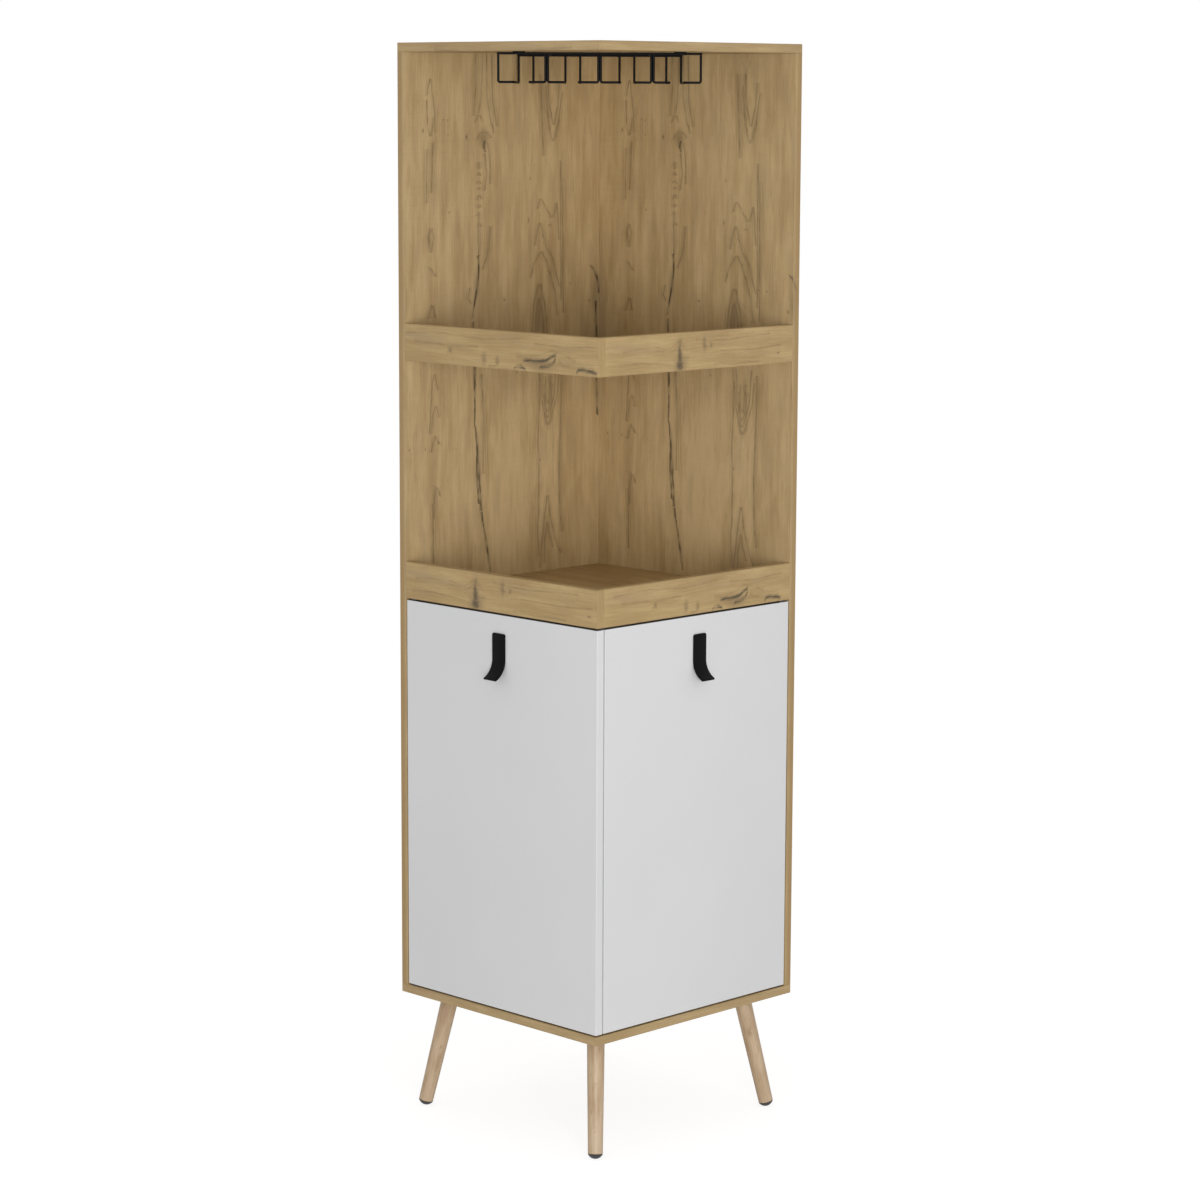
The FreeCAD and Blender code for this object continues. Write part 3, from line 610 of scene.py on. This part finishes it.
TRIANGLE_LINES = (
    ((123, 42), (150, 37), (165, 37), (177, 43), (186, 49), (193, 49), (202, 39), (212, 32)),
    ((162, 31), (175, 34), (183, 40)), ((194, 22), (205, 22), (214, 21)),
    ((281, 6), (300, 9), (330, 5), (370, 8), (410, 6)), ((40, 36), (90, 40), (150, 33)),
    ((255, 40), (264, 38), (270, 30)), ((30, 14), (90, 17), (165, 12)), ((230, 50), (320, 46), (440, 51)),
    ((300, 30), (380, 27), (470, 31)),
)
TRIANGLE_STAINS = (
    (8, 191, 22, 19), (20, 191, 22, 12), (33, 190, 18, 8), (44, 190, 10, 5), (41, 256, 20, 8),
    (40, 275, 7, 6),
)
TRIANGLE_KNOTS = ((18, 461, 1.6, 2.2, 3), (11, 191, 11, 11, 5), (28, 190, 16, 6, 6))
HOOK = Print(
    RAIL_HEARTS, stains=HOOK_STAINS, lines=((*RAIL_RUN, HOOK_LINES),), cracks=((*RAIL_RUN, HOOK_CRACKS),)
)
TRIANGLE = Print(
    RAIL_HEARTS, TRIANGLE_KNOTS, stains=TRIANGLE_STAINS,
    lines=((*RAIL_RUN, TRIANGLE_LINES),), cracks=((*RAIL_RUN, TRIANGLE_CRACKS),)
)
for level, left_print, right_print in (("upper", HOOK, TRIANGLE), ("counter", TRIANGLE, HOOK)):
    left, right = level + "_rail_left", level + "_rail_right"
    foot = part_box(left)[0].z * MM
    oak_board(left, ("z", foot), ("x", carcass_low.x), ("y", carcass_low.y), left_print, RAIL_SHADE, RAIL_INK)
    start = carcass_low.y + RIGHT_RAIL_START
    turned = ("y", start, 1 / RIGHT_RAIL_SCALE)
    oak_board(right, ("z", foot), turned, ("x", carcass_high.x), right_print, RAIL_SHADE, RAIL_INK)

# Level boards, mm across and along from a corner
LEVEL_SHADE = (0.92, 0.9, 0.86)
LEVEL_INK = 0.4
LEVEL_RUN = (-10, 520)
LEVEL_HEARTS = ((150, 16, 90, ((0, 0.1), (140, 0.55), (260, 0.4), (480, 0.9))),
                (372, 22, 70, ((0, 0.9), (200, 0.35), (330, 0.5), (480, 0.0))))
LEVEL_KNOTS = ((236, 118, 5, 5, 9), (88, 350, 4, 3, 5))
LEVEL_LINES = (
    ((0, 118), (120, 124), (210, 150)), ((0, 182), (120, 176), (210, 151)),
    ((0, 130), (90, 136), (160, 150)), ((0, 170), (90, 165), (160, 151)),
    ((250, 150), (330, 136), (480, 128)), ((250, 151), (330, 164), (480, 176)),
    ((290, 150), (380, 144), (480, 141)), ((290, 152), (380, 158), (480, 163)),
    ((0, 352), (200, 348), (480, 338)), ((0, 396), (160, 402), (330, 372)), ((60, 372), (330, 371)),
    ((20, 440), (240, 448), (480, 441)), ((0, 60), (220, 54), (480, 66)), ((90, 268), (260, 262), (420, 270)),
)
LEVEL_CRACKS = (((60, 205), (120, 208), (185, 214)), ((300, 330), (370, 324), (420, 322)))
LEVEL_PRINT = Print(
    LEVEL_HEARTS, LEVEL_KNOTS, lines=((*LEVEL_RUN, LEVEL_LINES),), cracks=((*LEVEL_RUN, LEVEL_CRACKS),)
)
# How much of the print each board leaves out at the front
LEVEL_STARTS = (
    ("base_panel", 20), ("inner_shelf", 60), ("counter_shelf", 35), ("upper_shelf", 250), ("top_panel", 265),
)
for name, left_out in LEVEL_STARTS:
    start = ("y", carcass_low.y - left_out)
    foot = ("z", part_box(name)[0].z * MM)
    oak_board(name, start, ("x", carcass_low.x), foot, LEVEL_PRINT, LEVEL_SHADE, LEVEL_INK)

# White doors
DOOR_WHITE = rgb(219, 219, 219)
DOOR_SHADE = rgb(216, 216, 217)
# painted highlight: the paler white along the door edges
DOOR_EDGE_SHEEN = rgb(228, 228, 228)
# painted shadow: the colour of the doors' upper edge, dark for the shade in the gap under the rails
DOOR_TOP_SHADOW = rgb(70, 66, 62)      # upper edge, which shows as a dark line under the rails


def white_door(name):
    """Two whites in broad clouds, a painted highlight paler by the edges, a painted shadow dark on the upper
    one, with fine noise as relief.
    """
    f = Finish("white_" + name)
    cloud = f.cloud(f.spot, 3.0)
    peel = f.cloud(f.spot, 900.0, 1.0)
    edge = f.edge(*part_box(name))
    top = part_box(name)[1].z * MM
    # painted highlight: paler colour along the edges; smoother there as rubbed, in the roughness
    rub_and_sheen = edge.step(1.2, 0.3)
    colour = f.blend(cloud.step(0.3, 0.7), DOOR_SHADE, DOOR_WHITE)
    colour = f.blend(rub_and_sheen * 0.6, colour, DOOR_EDGE_SHEEN)
    # painted shadow on the upper edge
    colour = f.blend(f.z.step(top - 0.5, top - 0.1) * 0.85, colour, DOOR_TOP_SHADOW)
    roughness = 0.5 + cloud * 0.04 - rub_and_sheen * 0.1
    dress(name, f.paint(colour, roughness, peel, 0.012, gloss=0.4))


white_door("left_door")
white_door("right_door")

# Turned legs
LEG_PALE = rgb(200, 177, 147)
LEG_DEEP = rgb(169, 140, 108)
LEG_FLECK = rgb(150, 118, 84)
LEG_RING = 2.6          # mm from ring to ring
CORNERS = ("front", "back", "left", "right")
LEG_PITHS = ((9.0, -14.0), (12.0, -9.0), (15.0, -4.0), (18.0, 1.0))     # mm from the axis to the pith
LEG_SHIFT = 3.7         # grains from one leg's noise to the next one's


def points_of(name):
    """Vertices of a CAD node as an array."""
    mesh = nodes[name].data
    spots = np.empty(3 * len(mesh.vertices), np.float32)
    mesh.vertices.foreach_get("co", spots)
    return spots.reshape(-1, 3).astype(float)


def along_axis(f, name):
    """Places on a leg in mm, turned so that z runs along its leaning axis from its middle."""
    spots = points_of(name)
    middle = spots.mean(0)
    axis = Vector(np.linalg.svd(spots - middle, full_matrices=False)[2][0])
    upright = axis.to_track_quat("Z", "Y").to_matrix().transposed()
    turn = upright.to_euler()
    shift = upright @ Vector(middle) * -1
    node = f.node("Mapping", (f.spot, shift, turn, (1, 1, 1)), vector_type="POINT")
    return (part * MM for part in f.split(Field(f, node.outputs[0])))


def turned_wood(name, pith, seed):
    """Noise of the distance from a pith beside the leg's axis, with fibres, flecks and burls along it."""
    f = Finish("turned_" + name)
    x, y, z = along_axis(f, name)
    sway = f.noise(x / 16, y / 16, z / 110 + seed)
    u, v = x - pith[0] + sway.swing(5), y - pith[1]
    ring = f.noise((u * u + v * v).root() / LEG_RING, z / 420 + seed)
    fibre = f.noise(x / 0.7, y / 0.7, z / 26 + seed, detail=3)
    fleck = f.noise(x / 1.1, y / 1.1, z / 7 + seed, detail=1).step(0.64, 0.76)
    cloud = f.noise(x / 20, y / 20, z / 60 + seed)
    tone = (ring * 0.4 + fibre * 0.25 + cloud * 0.35).step(0.36, 0.62)
    colour = f.blend(tone, LEG_DEEP, LEG_PALE)
    burl = f.noise(x / 11, y / 11, z / 22 + seed, detail=3).step(0.6, 0.74)
    colour = f.blend((fleck * 0.3).most(burl * 0.5), colour, LEG_FLECK)
    relief = 0.6 - fleck * 0.3 + fibre * 0.3
    roughness = 0.42 + fibre * 0.12
    dress(name, f.paint(colour, roughness, relief, 0.05, gloss=0.45))


for number, corner in enumerate(CORNERS):
    turned_wood("leg_" + corner, LEG_PITHS[number], LEG_SHIFT * number)


def dowel_wood():
    """Fine noise between the two colours of the legs."""
    f = Finish("dowel_beech")
    fibre = f.cloud(f.spot, 600.0, 3.0)
    dress("dowels", f.paint(f.blend(fibre, LEG_DEEP, LEG_PALE), 0.6 + fibre * 0.1, fibre, 0.05))


dowel_wood()

# Plain finishes
CLOUD = 25.0            # mm


def plain(name, dark, light, roughness, grain, depth, **shine):
    """Two colours in clouds, roughness with a spread, and a relief of grains of a size and depth in mm."""
    f = Finish(name)
    cloud = f.cloud(f.spot, MM / CLOUD)
    fine = f.cloud(f.spot, MM / grain, 1.0)
    colour = f.blend((cloud * 0.7 + fine * 0.3).step(0.35, 0.65), dark, light)
    return f.paint(colour, roughness - 0.06 + cloud * 0.12, fine, depth, **shine)


PULL_BLACK = plain("pull_black", rgb(6, 6, 6), rgb(10, 9, 9), 0.5, 0.8, 0.03, gloss=0.07)
WIRE_BLACK = plain("wire_black", rgb(9, 9, 10), rgb(14, 14, 15), 0.5, 0.6, 0.02, gloss=0.12)
GLIDE_BLACK = plain("glide_black", rgb(44, 45, 47), rgb(54, 55, 57), 0.55, 0.5, 0.03)
SCREW_BLACK = plain("screw_black", rgb(26, 26, 27), rgb(36, 36, 37), 0.4, 0.4, 0.01)
ZINC_DARK, ZINC_LIGHT = rgb(160, 162, 164), rgb(196, 198, 200)
PLATE_STEEL = plain("plate_steel", ZINC_DARK, ZINC_LIGHT, 0.38, 0.7, 0.01, metal=1.0)
SCREW_STEEL = plain("screw_steel", ZINC_DARK, ZINC_LIGHT, 0.3, 0.4, 0.005, metal=1.0)
STRIKE_STEEL = plain("strike_steel", ZINC_DARK, ZINC_LIGHT, 0.34, 0.9, 0.006, metal=1.0)
CAM_ZINC = plain("cam_zinc", rgb(140, 142, 145), rgb(170, 172, 174), 0.45, 0.5, 0.02, metal=1.0)
BUSH_NYLON = plain("bush_nylon", rgb(40, 38, 36), rgb(50, 48, 45), 0.5, 0.6, 0.01)
CATCH_WHITE = plain("catch_white", rgb(222, 222, 220), rgb(233, 233, 231), 0.42, 0.7, 0.015)
MAGNET_DARK = plain("magnet_dark", rgb(52, 51, 50), rgb(72, 70, 68), 0.5, 0.5, 0.02)
RUNNERS = ["rack_runner_%d" % number for number in range(1, 9)]
for piece_finish, names in (
    (PLATE_STEEL, ["leg_plate_" + corner for corner in CORNERS]),
    (GLIDE_BLACK, ["glide_" + corner for corner in CORNERS]),
    (WIRE_BLACK, ["rack_front_bar", "rack_rear_bar", "rack_tabs"]),
    (WIRE_BLACK, RUNNERS),
    (PULL_BLACK, ["left_pull", "right_pull"]),
    (STRIKE_STEEL, ["left_strike", "right_strike"]),
    (CATCH_WHITE, ["left_catch", "right_catch"]),
    (SCREW_STEEL, ["left_pivot_pins", "right_pivot_pins", "hanger_bolts", "cam_bolts"]),
    (SCREW_STEEL, ["joining_screws", "leg_plate_screws", "catch_screws"]),
    (SCREW_STEEL, ["left_pull_screws", "right_pull_screws", "left_strike_screws", "right_strike_screws"]),
    (SCREW_BLACK, ["rack_screws"]),
    (CAM_ZINC, ["cam_locks"]),
    (BUSH_NYLON, ["pivot_bushes"]),
    (MAGNET_DARK, ["catch_magnets"]),
):
    for name in names:
        dress(name, piece_finish)

# Small fittings, worked out as surfaces in mm
SHARP = math.radians(38)    # edges that bend by more stay sharp


def skin_faces(rows, around, ring):
    """Quads that join each loop to the next, and fans that close the ends on poles, unless it is a ring."""
    grid = np.arange(rows * around).reshape(rows, around)
    below, above = (grid, np.roll(grid, -1, 0)) if ring else (grid[:-1], grid[1:])
    quads = np.stack([below, np.roll(below, -1, 1), np.roll(above, -1, 1), above], -1).reshape(-1, 4)
    if ring:
        return quads, np.empty((0, 3), int)
    first, last, pole = grid[0], grid[-1], np.full(around, rows * around)
    bottom = np.stack([np.roll(first, -1), first, pole], -1)
    top = np.stack([last, np.roll(last, -1), pole + 1], -1)
    return quads, np.concatenate([bottom, top])


def volume_of(spots, quads, fans):
    """Six times the volume that the faces enclose, below 0 where they look inwards."""
    a, b, c, d = (spots[quads[:, corner]] for corner in range(4))
    volume = (a * (np.cross(b, c) + np.cross(c, d))).sum()
    a, b, c = (spots[fans[:, corner]] for corner in range(3))
    return volume + (a * np.cross(b, c)).sum()


def skin(name, loops, finish, body, slot, *stands_for, ring=False):
    """Closed skin over points in an array of copies, loops, points of a loop and x, y, z."""
    copies, rows, around = loops.shape[:3]
    quads, fans = skin_faces(rows, around, ring)
    spots = loops.reshape(copies, -1, 3)
    if not ring:
        spots = np.concatenate([spots, loops[:, (0, -1)].mean(2)], 1)
    if volume_of(spots[0], quads, fans) < 0:
        quads, fans = quads[:, ::-1], fans[:, ::-1]
    jump = np.arange(copies)[:, None, None] * spots.shape[1]
    faces = (quads + jump).reshape(-1, 4).tolist() + (fans + jump).reshape(-1, 3).tolist()
    mesh = bpy.data.meshes.new(name)
    mesh.from_pydata((spots.reshape(-1, 3) / MM).tolist(), [], faces)
    mesh.shade_smooth()
    mesh.set_sharp_from_angle(angle=SHARP)
    mesh.materials.append(finish)
    piece = bpy.data.objects.new(name, mesh)
    show(piece)
    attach(piece, body)
    if stands_for:
        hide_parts(*stands_for)


# Bent strap pulls
PULL_W, PULL_T = 30.0, 3.0
PULL_FLAT = 44.0
PULL_BEND_R = 36.0      # door side of the bend
PULL_BEND = math.radians(66.0)
PULL_CORNER_R, LIP_CORNER_R = 4.0, 2.0
PULL_ARRIS_R = 0.7
TIP = 0.01              # keeps the last loop of the lip open
BOSS_R, BOSS_L, BOSS_IN, BOSS_BORE_R = 4.0, 6.0, 11.0, 2.05
BOSS_BEVEL = 0.4
BOSS_SUNK = 0.2         # into the strap


def round_off(gap, radius):
    """How far a quarter circle of a radius draws an edge in, at a gap from its end."""
    short = np.clip(radius - gap, 0, radius)
    return radius - np.sqrt(radius * radius - short * short)


def strap_loops():
    """Rounded rectangle carried down a line and round an arc, as places along the door, out of it and up.

    A quarter circle draws in its half width at each end. A small one at the top and a half circle at the lip
    draw in its half thickness.
    """
    middle_r = PULL_BEND_R - PULL_T / 2
    length = PULL_FLAT + middle_r * PULL_BEND + PULL_T / 2
    ease = 1 - np.cos(np.linspace(0, math.pi / 2, 14))
    down = np.concatenate([ease * PULL_CORNER_R, np.linspace(PULL_CORNER_R, PULL_FLAT, 8)[1:],
                           np.linspace(PULL_FLAT, length - LIP_CORNER_R, 30)[1:],
                           length - TIP - ease[:-1][::-1] * LIP_CORNER_R])
    left = length - down
    wide = PULL_W / 2 - round_off(down, PULL_CORNER_R) - round_off(left, LIP_CORNER_R)
    thick = PULL_T / 2 - round_off(down, PULL_ARRIS_R) - round_off(left, PULL_T / 2)
    arris = np.minimum(PULL_ARRIS_R, thick * 0.9)[:, None, None]
    corner = np.arange(4)[:, None] * math.pi / 2
    turn = corner + np.linspace(0, math.pi / 2, 6)
    side, face = np.sign(np.cos(corner + 0.5)), np.sign(np.sin(corner + 0.5))
    x = (side * (wide[:, None, None] - arris) + arris * np.cos(turn)).reshape(len(down), -1)
    y = (face * (thick[:, None, None] - arris) + arris * np.sin(turn)).reshape(len(down), -1)
    bend = np.clip((down - PULL_FLAT) / middle_r, 0, None)[:, None]
    radius = middle_r - y
    out = PULL_BEND_R - radius * np.cos(bend)
    up = -np.minimum(down, PULL_FLAT)[:, None] - radius * np.sin(bend)
    return np.stack([x, out, up], -1)[None]


def boss_loops():
    """Ring of a bevelled rectangle turned about a line out of the door, one for each boss."""
    r = np.array((BOSS_BORE_R, BOSS_R, BOSS_R, BOSS_R - BOSS_BEVEL, BOSS_BORE_R))
    deep = np.array((BOSS_SUNK, BOSS_SUNK, BOSS_BEVEL - BOSS_L, -BOSS_L, -BOSS_L))
    turn = np.linspace(0, 2 * math.pi, 25)[:-1]
    seats = np.array((-BOSS_IN, BOSS_IN - PULL_FLAT))[:, None, None]
    x = r[:, None] * np.cos(turn)
    up = seats + r[:, None] * np.sin(turn)
    out = np.broadcast_to(deep[:, None], x.shape)
    return np.stack(np.broadcast_arrays(x, out, up), -1)


def upright_on(loops, middle, along, out):
    """Places along, out and up, set on a door's face."""
    return np.array(middle) + loops @ np.array((along, out, (0, 0, 1)))


for side, along, out in (("left", (1, 0, 0), (0, -1, 0)), ("right", (0, 1, 0), (1, 0, 0))):
    low, high = (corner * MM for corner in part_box(side + "_pull"))
    door_low, door_high = (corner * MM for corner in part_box(side + "_door"))
    if side == "left":
        middle = ((low.x + high.x) / 2, door_low.y, high.z)
    else:
        middle = (door_high.x, (low.y + high.y) / 2, high.z)
    body = side + "_door"
    strap = upright_on(strap_loops(), middle, along, out)
    skin(side + "_strap", strap, PULL_BLACK, body, "pull_black", side + "_pull")
    bosses = upright_on(boss_loops(), middle, along, out)
    skin(side + "_strap_bosses", bosses, PULL_BLACK, body, "pull_black", ring=True)

# Screws and cam locks with a cross recess
CAM_R = 7.5
CAM_CROSS_DEEP = 2.4
CROSS_TURN = 2.4        # radians from one screw's cross to the next one's
FLUSH = 0.02            # mm, for points that lie on an end face


def solids_of(name):
    """The separate solids of a CAD node, each as an array of its points in mm."""
    mesh = nodes[name].data
    corners = np.empty(len(mesh.loops), np.int32)
    mesh.loops.foreach_get("vertex_index", corners)
    spots = points_of(name) * MM
    merged, same = np.unique(np.round(spots, 3), axis=0, return_inverse=True)
    faces = same.reshape(-1)[corners].reshape(-1, 3)
    label = np.arange(len(merged))
    before = None
    while before is None or (before != label).any():
        before = label.copy()
        np.minimum.at(label, faces, label[faces].min(1)[:, None])
    return [merged[label == mark] for mark in np.unique(label)]


def seats_of(name, flat=False):
    """Middle of each head, the way in from it, the length and the head's radius, read from a CAD node."""
    for spots in solids_of(name):
        low, high = spots.min(0), spots.max(0)
        size = high - low
        axis = size.argmin() if flat else size.argmax()
        ends = [spots[abs(spots[:, axis] - end[axis]) < FLUSH] for end in (low, high)]
        spread = [np.ptp(np.delete(end, axis, 1), axis=0).max() for end in ends]
        top = int(spread[1] > spread[0])
        if flat:
            top = int(abs(high[axis]) > abs(low[axis]))
        way = np.eye(3)[axis] * (-1 if top else 1)
        head = (low + high) / 2
        head[axis] = (low, high)[top][axis]
        yield head, way, size[axis], spread[top] / 2


def cross_loops(arm, half, deep, profile):
    """Loops about an axis, as places aside and down: a cross cut to a depth, then circles of a profile.

    The cross has arms of a length and half width; every circle has its points at the angles of the cross's.
    """
    elbow = (arm + half) / 2
    quarter = np.array(((arm, 0), (arm, half), (elbow, half), (half, half), (half, elbow), (half, arm)))
    turned = np.stack([-quarter[:, 1], quarter[:, 0]], -1)
    cross = np.concatenate([quarter, turned, -quarter, -turned])
    circle = cross / np.hypot(*cross.T)[:, None]
    rows = [(cross * 0.4, deep), (cross * 0.8, deep * 0.85), (cross, 0.12 * deep), (cross * 1.06, 0.0)]
    rows += [(circle * r, h) for r, h in profile]
    return np.array([np.c_[ring, np.full(len(ring), h)] for ring, h in rows])


def set_screws(name, body, slot, finish, shape, flat=False):
    """Copies of one screw on the seats of a CAD node, each with its cross turned its own way."""
    copies = []
    for number, (head, way, length, radius) in enumerate(seats_of(name, flat)):
        side = np.roll(np.abs(way), 1)
        other = np.cross(way, side)
        turn = number * CROSS_TURN
        aside = side * math.cos(turn) + other * math.sin(turn)
        frame_of = np.array((aside, np.cross(way, aside), way))
        copies.append(head + shape(radius, length) @ frame_of)
    skin(name + "_cut", np.array(copies), finish, body, slot, name)


def sunk_screw(shank, depth):
    """Countersunk screw: flat head, cone to the shank, straight shank, pointed end."""
    def shape(r, length):
        profile = ((r - 0.15, 0.0), (r, 0.15), (shank, depth), (shank, length - 1.6 * shank), (0.25, length))
        return cross_loops(0.62 * r, 0.13 * r, 0.8 * depth, profile)
    return shape


def round_screw(shank, depth):
    """Round-headed screw: domed head on a straight shank, blunt end."""
    def shape(r, length):
        dome = ((0.72 * r, 0.06 * depth), (0.9 * r, 0.3 * depth), (r, 0.7 * depth), (r, depth))
        stem = ((shank, depth), (shank, length - 0.5), (shank - 0.4, length))
        return cross_loops(0.5 * r, 0.12 * r, 0.7 * depth, dome + stem)
    return shape


def cam_lock(_, length):
    """Cam lock of its own radius: a cross in a face with a groove round it, and a plain drum."""
    r = CAM_R
    face = ((0.74 * r, 0.0), (0.78 * r, 0.4), (0.86 * r, 0.4), (0.9 * r, 0.0), (r - 0.25, 0.0))
    drum = ((r, 0.25), (r, length - 0.3), (r - 0.3, length))
    return cross_loops(0.56 * r, 0.15 * r, CAM_CROSS_DEEP, face + drum)


set_screws("joining_screws", "carcass", "screw_steel", SCREW_STEEL, sunk_screw(3.2, 3.0))
set_screws("leg_plate_screws", "carcass", "screw_steel", SCREW_STEEL, sunk_screw(1.9, 1.52))
set_screws("catch_screws", "carcass", "screw_steel", SCREW_STEEL, sunk_screw(1.6, 1.28))
set_screws("rack_screws", "carcass", "screw_black", SCREW_BLACK, round_screw(2.0, 2.2))
set_screws("cam_locks", "carcass", "cam_zinc", CAM_ZINC, cam_lock, flat=True)
for side in ("left", "right"):
    body = side + "_door"
    set_screws(side + "_pull_screws", body, "screw_steel", SCREW_STEEL, round_screw(2.0, 2.4))
    set_screws(side + "_strike_screws", body, "screw_steel", SCREW_STEEL, sunk_screw(1.5, 1.2))

# Weld beads where the rack's wires meet its bars and tabs
BEAD = (2.6, 1.7, 1.9)      # half lengths along the bar, across it and up
BEAD_TOP = 1.45             # radians up to the last loop
RIPPLE = 0.08
WIRE_R = 2.0


def bead_loops(places, size):
    """Lumpy ball: a sphere scaled to three half lengths, its radius rippled round and up it."""
    rows, around = np.linspace(-BEAD_TOP, BEAD_TOP, 11), np.linspace(0, 2 * math.pi, 19)[:-1]
    up, turn = np.meshgrid(rows, around, indexing="ij")
    ripple = 1 + RIPPLE * np.sin(3 * turn + 2 * up) * np.cos(4 * up)
    ball = np.stack([np.cos(up) * np.cos(turn), np.cos(up) * np.sin(turn), np.sin(up)], -1)
    across = np.array(((1, 1, 0), (1, -1, 0), (0, 0, math.sqrt(2)))) / math.sqrt(2)
    return places[:, None, None] + (ball * ripple[..., None] * np.array(size)) @ across


def weld_places():
    """Middles of the beads: a wire's radius out and down from the upper tips of each runner."""
    for runner in RUNNERS:
        spots = points_of(runner) * MM
        tips = spots[spots[:, 2] > spots[:, 2].max() - 0.01]
        depth = tips[:, 0] - tips[:, 1]
        middle = (depth.max() + depth.min()) / 2
        for near, toward in ((depth > middle, (1, -1)), (depth < middle, (-1, 1))):
            spot = (tips[near].max(0) + tips[near].min(0)) / 2
            spot[:2] += np.array(toward) * WIRE_R / math.sqrt(2)
            spot[2] -= WIRE_R
            yield spot


skin("rack_welds", bead_loops(np.array(list(weld_places())), BEAD), WIRE_BLACK, "carcass", "wire_black")

# Floor, light and camera
FLOOR_SIZE = 40.0
FLOOR_WHITE = 0.6       # share of plain white seen on the floor, the rest is lit and shaded
FLOOR_GLOW = 1.36
AMBIENT = 0.52
ends = np.linspace(-FLOOR_SIZE / 2, FLOOR_SIZE / 2, 2)
corners = np.stack(np.meshgrid(ends, ends), -1).reshape(-1, 2)
floor_mesh = bpy.data.meshes.new("floor")
floor_mesh.from_pydata(np.c_[corners, np.zeros(4)].tolist(), [], [(0, 1, 3, 2)])
floor = bpy.data.objects.new("floor", floor_mesh)
show(floor)
floor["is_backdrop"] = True


def seen_by(tree):
    """1 for rays from the camera and from mirrors and glass, 0 for rays that carry light."""
    path = tree.nodes.new("ShaderNodeLightPath")
    share = path.outputs["Is Camera Ray"]
    for other in ("Is Glossy Ray", "Is Transmission Ray"):
        node = tree.nodes.new("ShaderNodeMath")
        node.operation = "MAXIMUM"
        tree.links.new(share, node.inputs[0])
        tree.links.new(path.outputs[other], node.inputs[1])
        share = node.outputs[0]
    return share


def floor_finish():
    """Matt white that takes shadows, mixed with a white glow for rays that see it."""
    f = Finish("floor_white")
    f.paint(rgb(246, 246, 246), 0.9, gloss=0.0)
    glow = f.node("Emission", ((1, 1, 1, 1), FLOOR_GLOW))
    seen = f.math("MULTIPLY", Field(f, seen_by(f.material.node_tree)), FLOOR_WHITE)
    mixed = f.node("MixShader", (seen, Field(f, f.shader.outputs[0]), Field(f, glow.outputs[0])))
    f.links.new(mixed.outputs[0], f.nodes["Material Output"].inputs["Surface"])
    return f.material


floor_mesh.materials.append(floor_finish())

world = bpy.data.worlds.new("studio")
world.use_nodes = True
bpy.context.scene.world = world
tree = world.node_tree
sky = tree.nodes["Background"]
sky.inputs["Color"].default_value = (1, 1, 1, 1)
level = tree.nodes.new("ShaderNodeMapRange")
tree.links.new(seen_by(tree), level.inputs["Value"])
level.inputs["To Min"].default_value = AMBIENT
tree.links.new(level.outputs[0], sky.inputs["Strength"])

LAMP_PLACE, LAMP_AIM = Vector((4.6, -3.6, 1.2)), Vector((0, 0, 1.0))
LAMP_SIZE = 2.6         # metres
LAMP_POWER = 162        # watts
lamp = bpy.data.lights.new("front_light", "AREA")
lamp.shape = "DISK"
lamp.size = LAMP_SIZE
lamp.energy = LAMP_POWER
stand = bpy.data.objects.new("front_light", lamp)
stand.location = LAMP_PLACE
stand.rotation_euler = (LAMP_AIM - LAMP_PLACE).to_track_quat("-Z", "Y").to_euler()
show(stand)

AZIMUTH = math.radians(45.06)
PITCH = math.radians(8.68)
ROLL = math.radians(0.218)
DISTANCE = 5.6327       # metres from the eye to the cabinet's middle, level
ASIDE = 0.0039
EYE_HEIGHT = 1.7569
FOCAL_PIXELS = 3317.6
PHOTO_PIXELS = 1200
SENSOR = 36.0
back = Vector((math.sin(AZIMUTH), -math.cos(AZIMUTH), 0))
right = Vector((math.cos(AZIMUTH), math.sin(AZIMUTH), 0))
forward = -back * math.cos(PITCH) - Vector((0, 0, math.sin(PITCH)))
up = right.cross(forward)
right_rolled = right * math.cos(ROLL) + up * math.sin(ROLL)
up_rolled = up * math.cos(ROLL) - right * math.sin(ROLL)
middle = (carcass_low + carcass_high) / 2 / MM
eye = Vector((middle.x, middle.y, 0)) + back * DISTANCE + right * ASIDE + Vector((0, 0, EYE_HEIGHT))
lens = bpy.data.cameras.new("photo_view")
lens.sensor_width = SENSOR
lens.lens = SENSOR * FOCAL_PIXELS / PHOTO_PIXELS
camera = bpy.data.objects.new("photo_view", lens)
turn = Matrix((right_rolled, up_rolled, -forward)).transposed().to_4x4()
camera.matrix_world = Matrix.Translation(eye) @ turn
show(camera)
bpy.context.scene.camera = camera
bpy.context.scene.view_settings.view_transform = "Standard"

low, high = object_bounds()
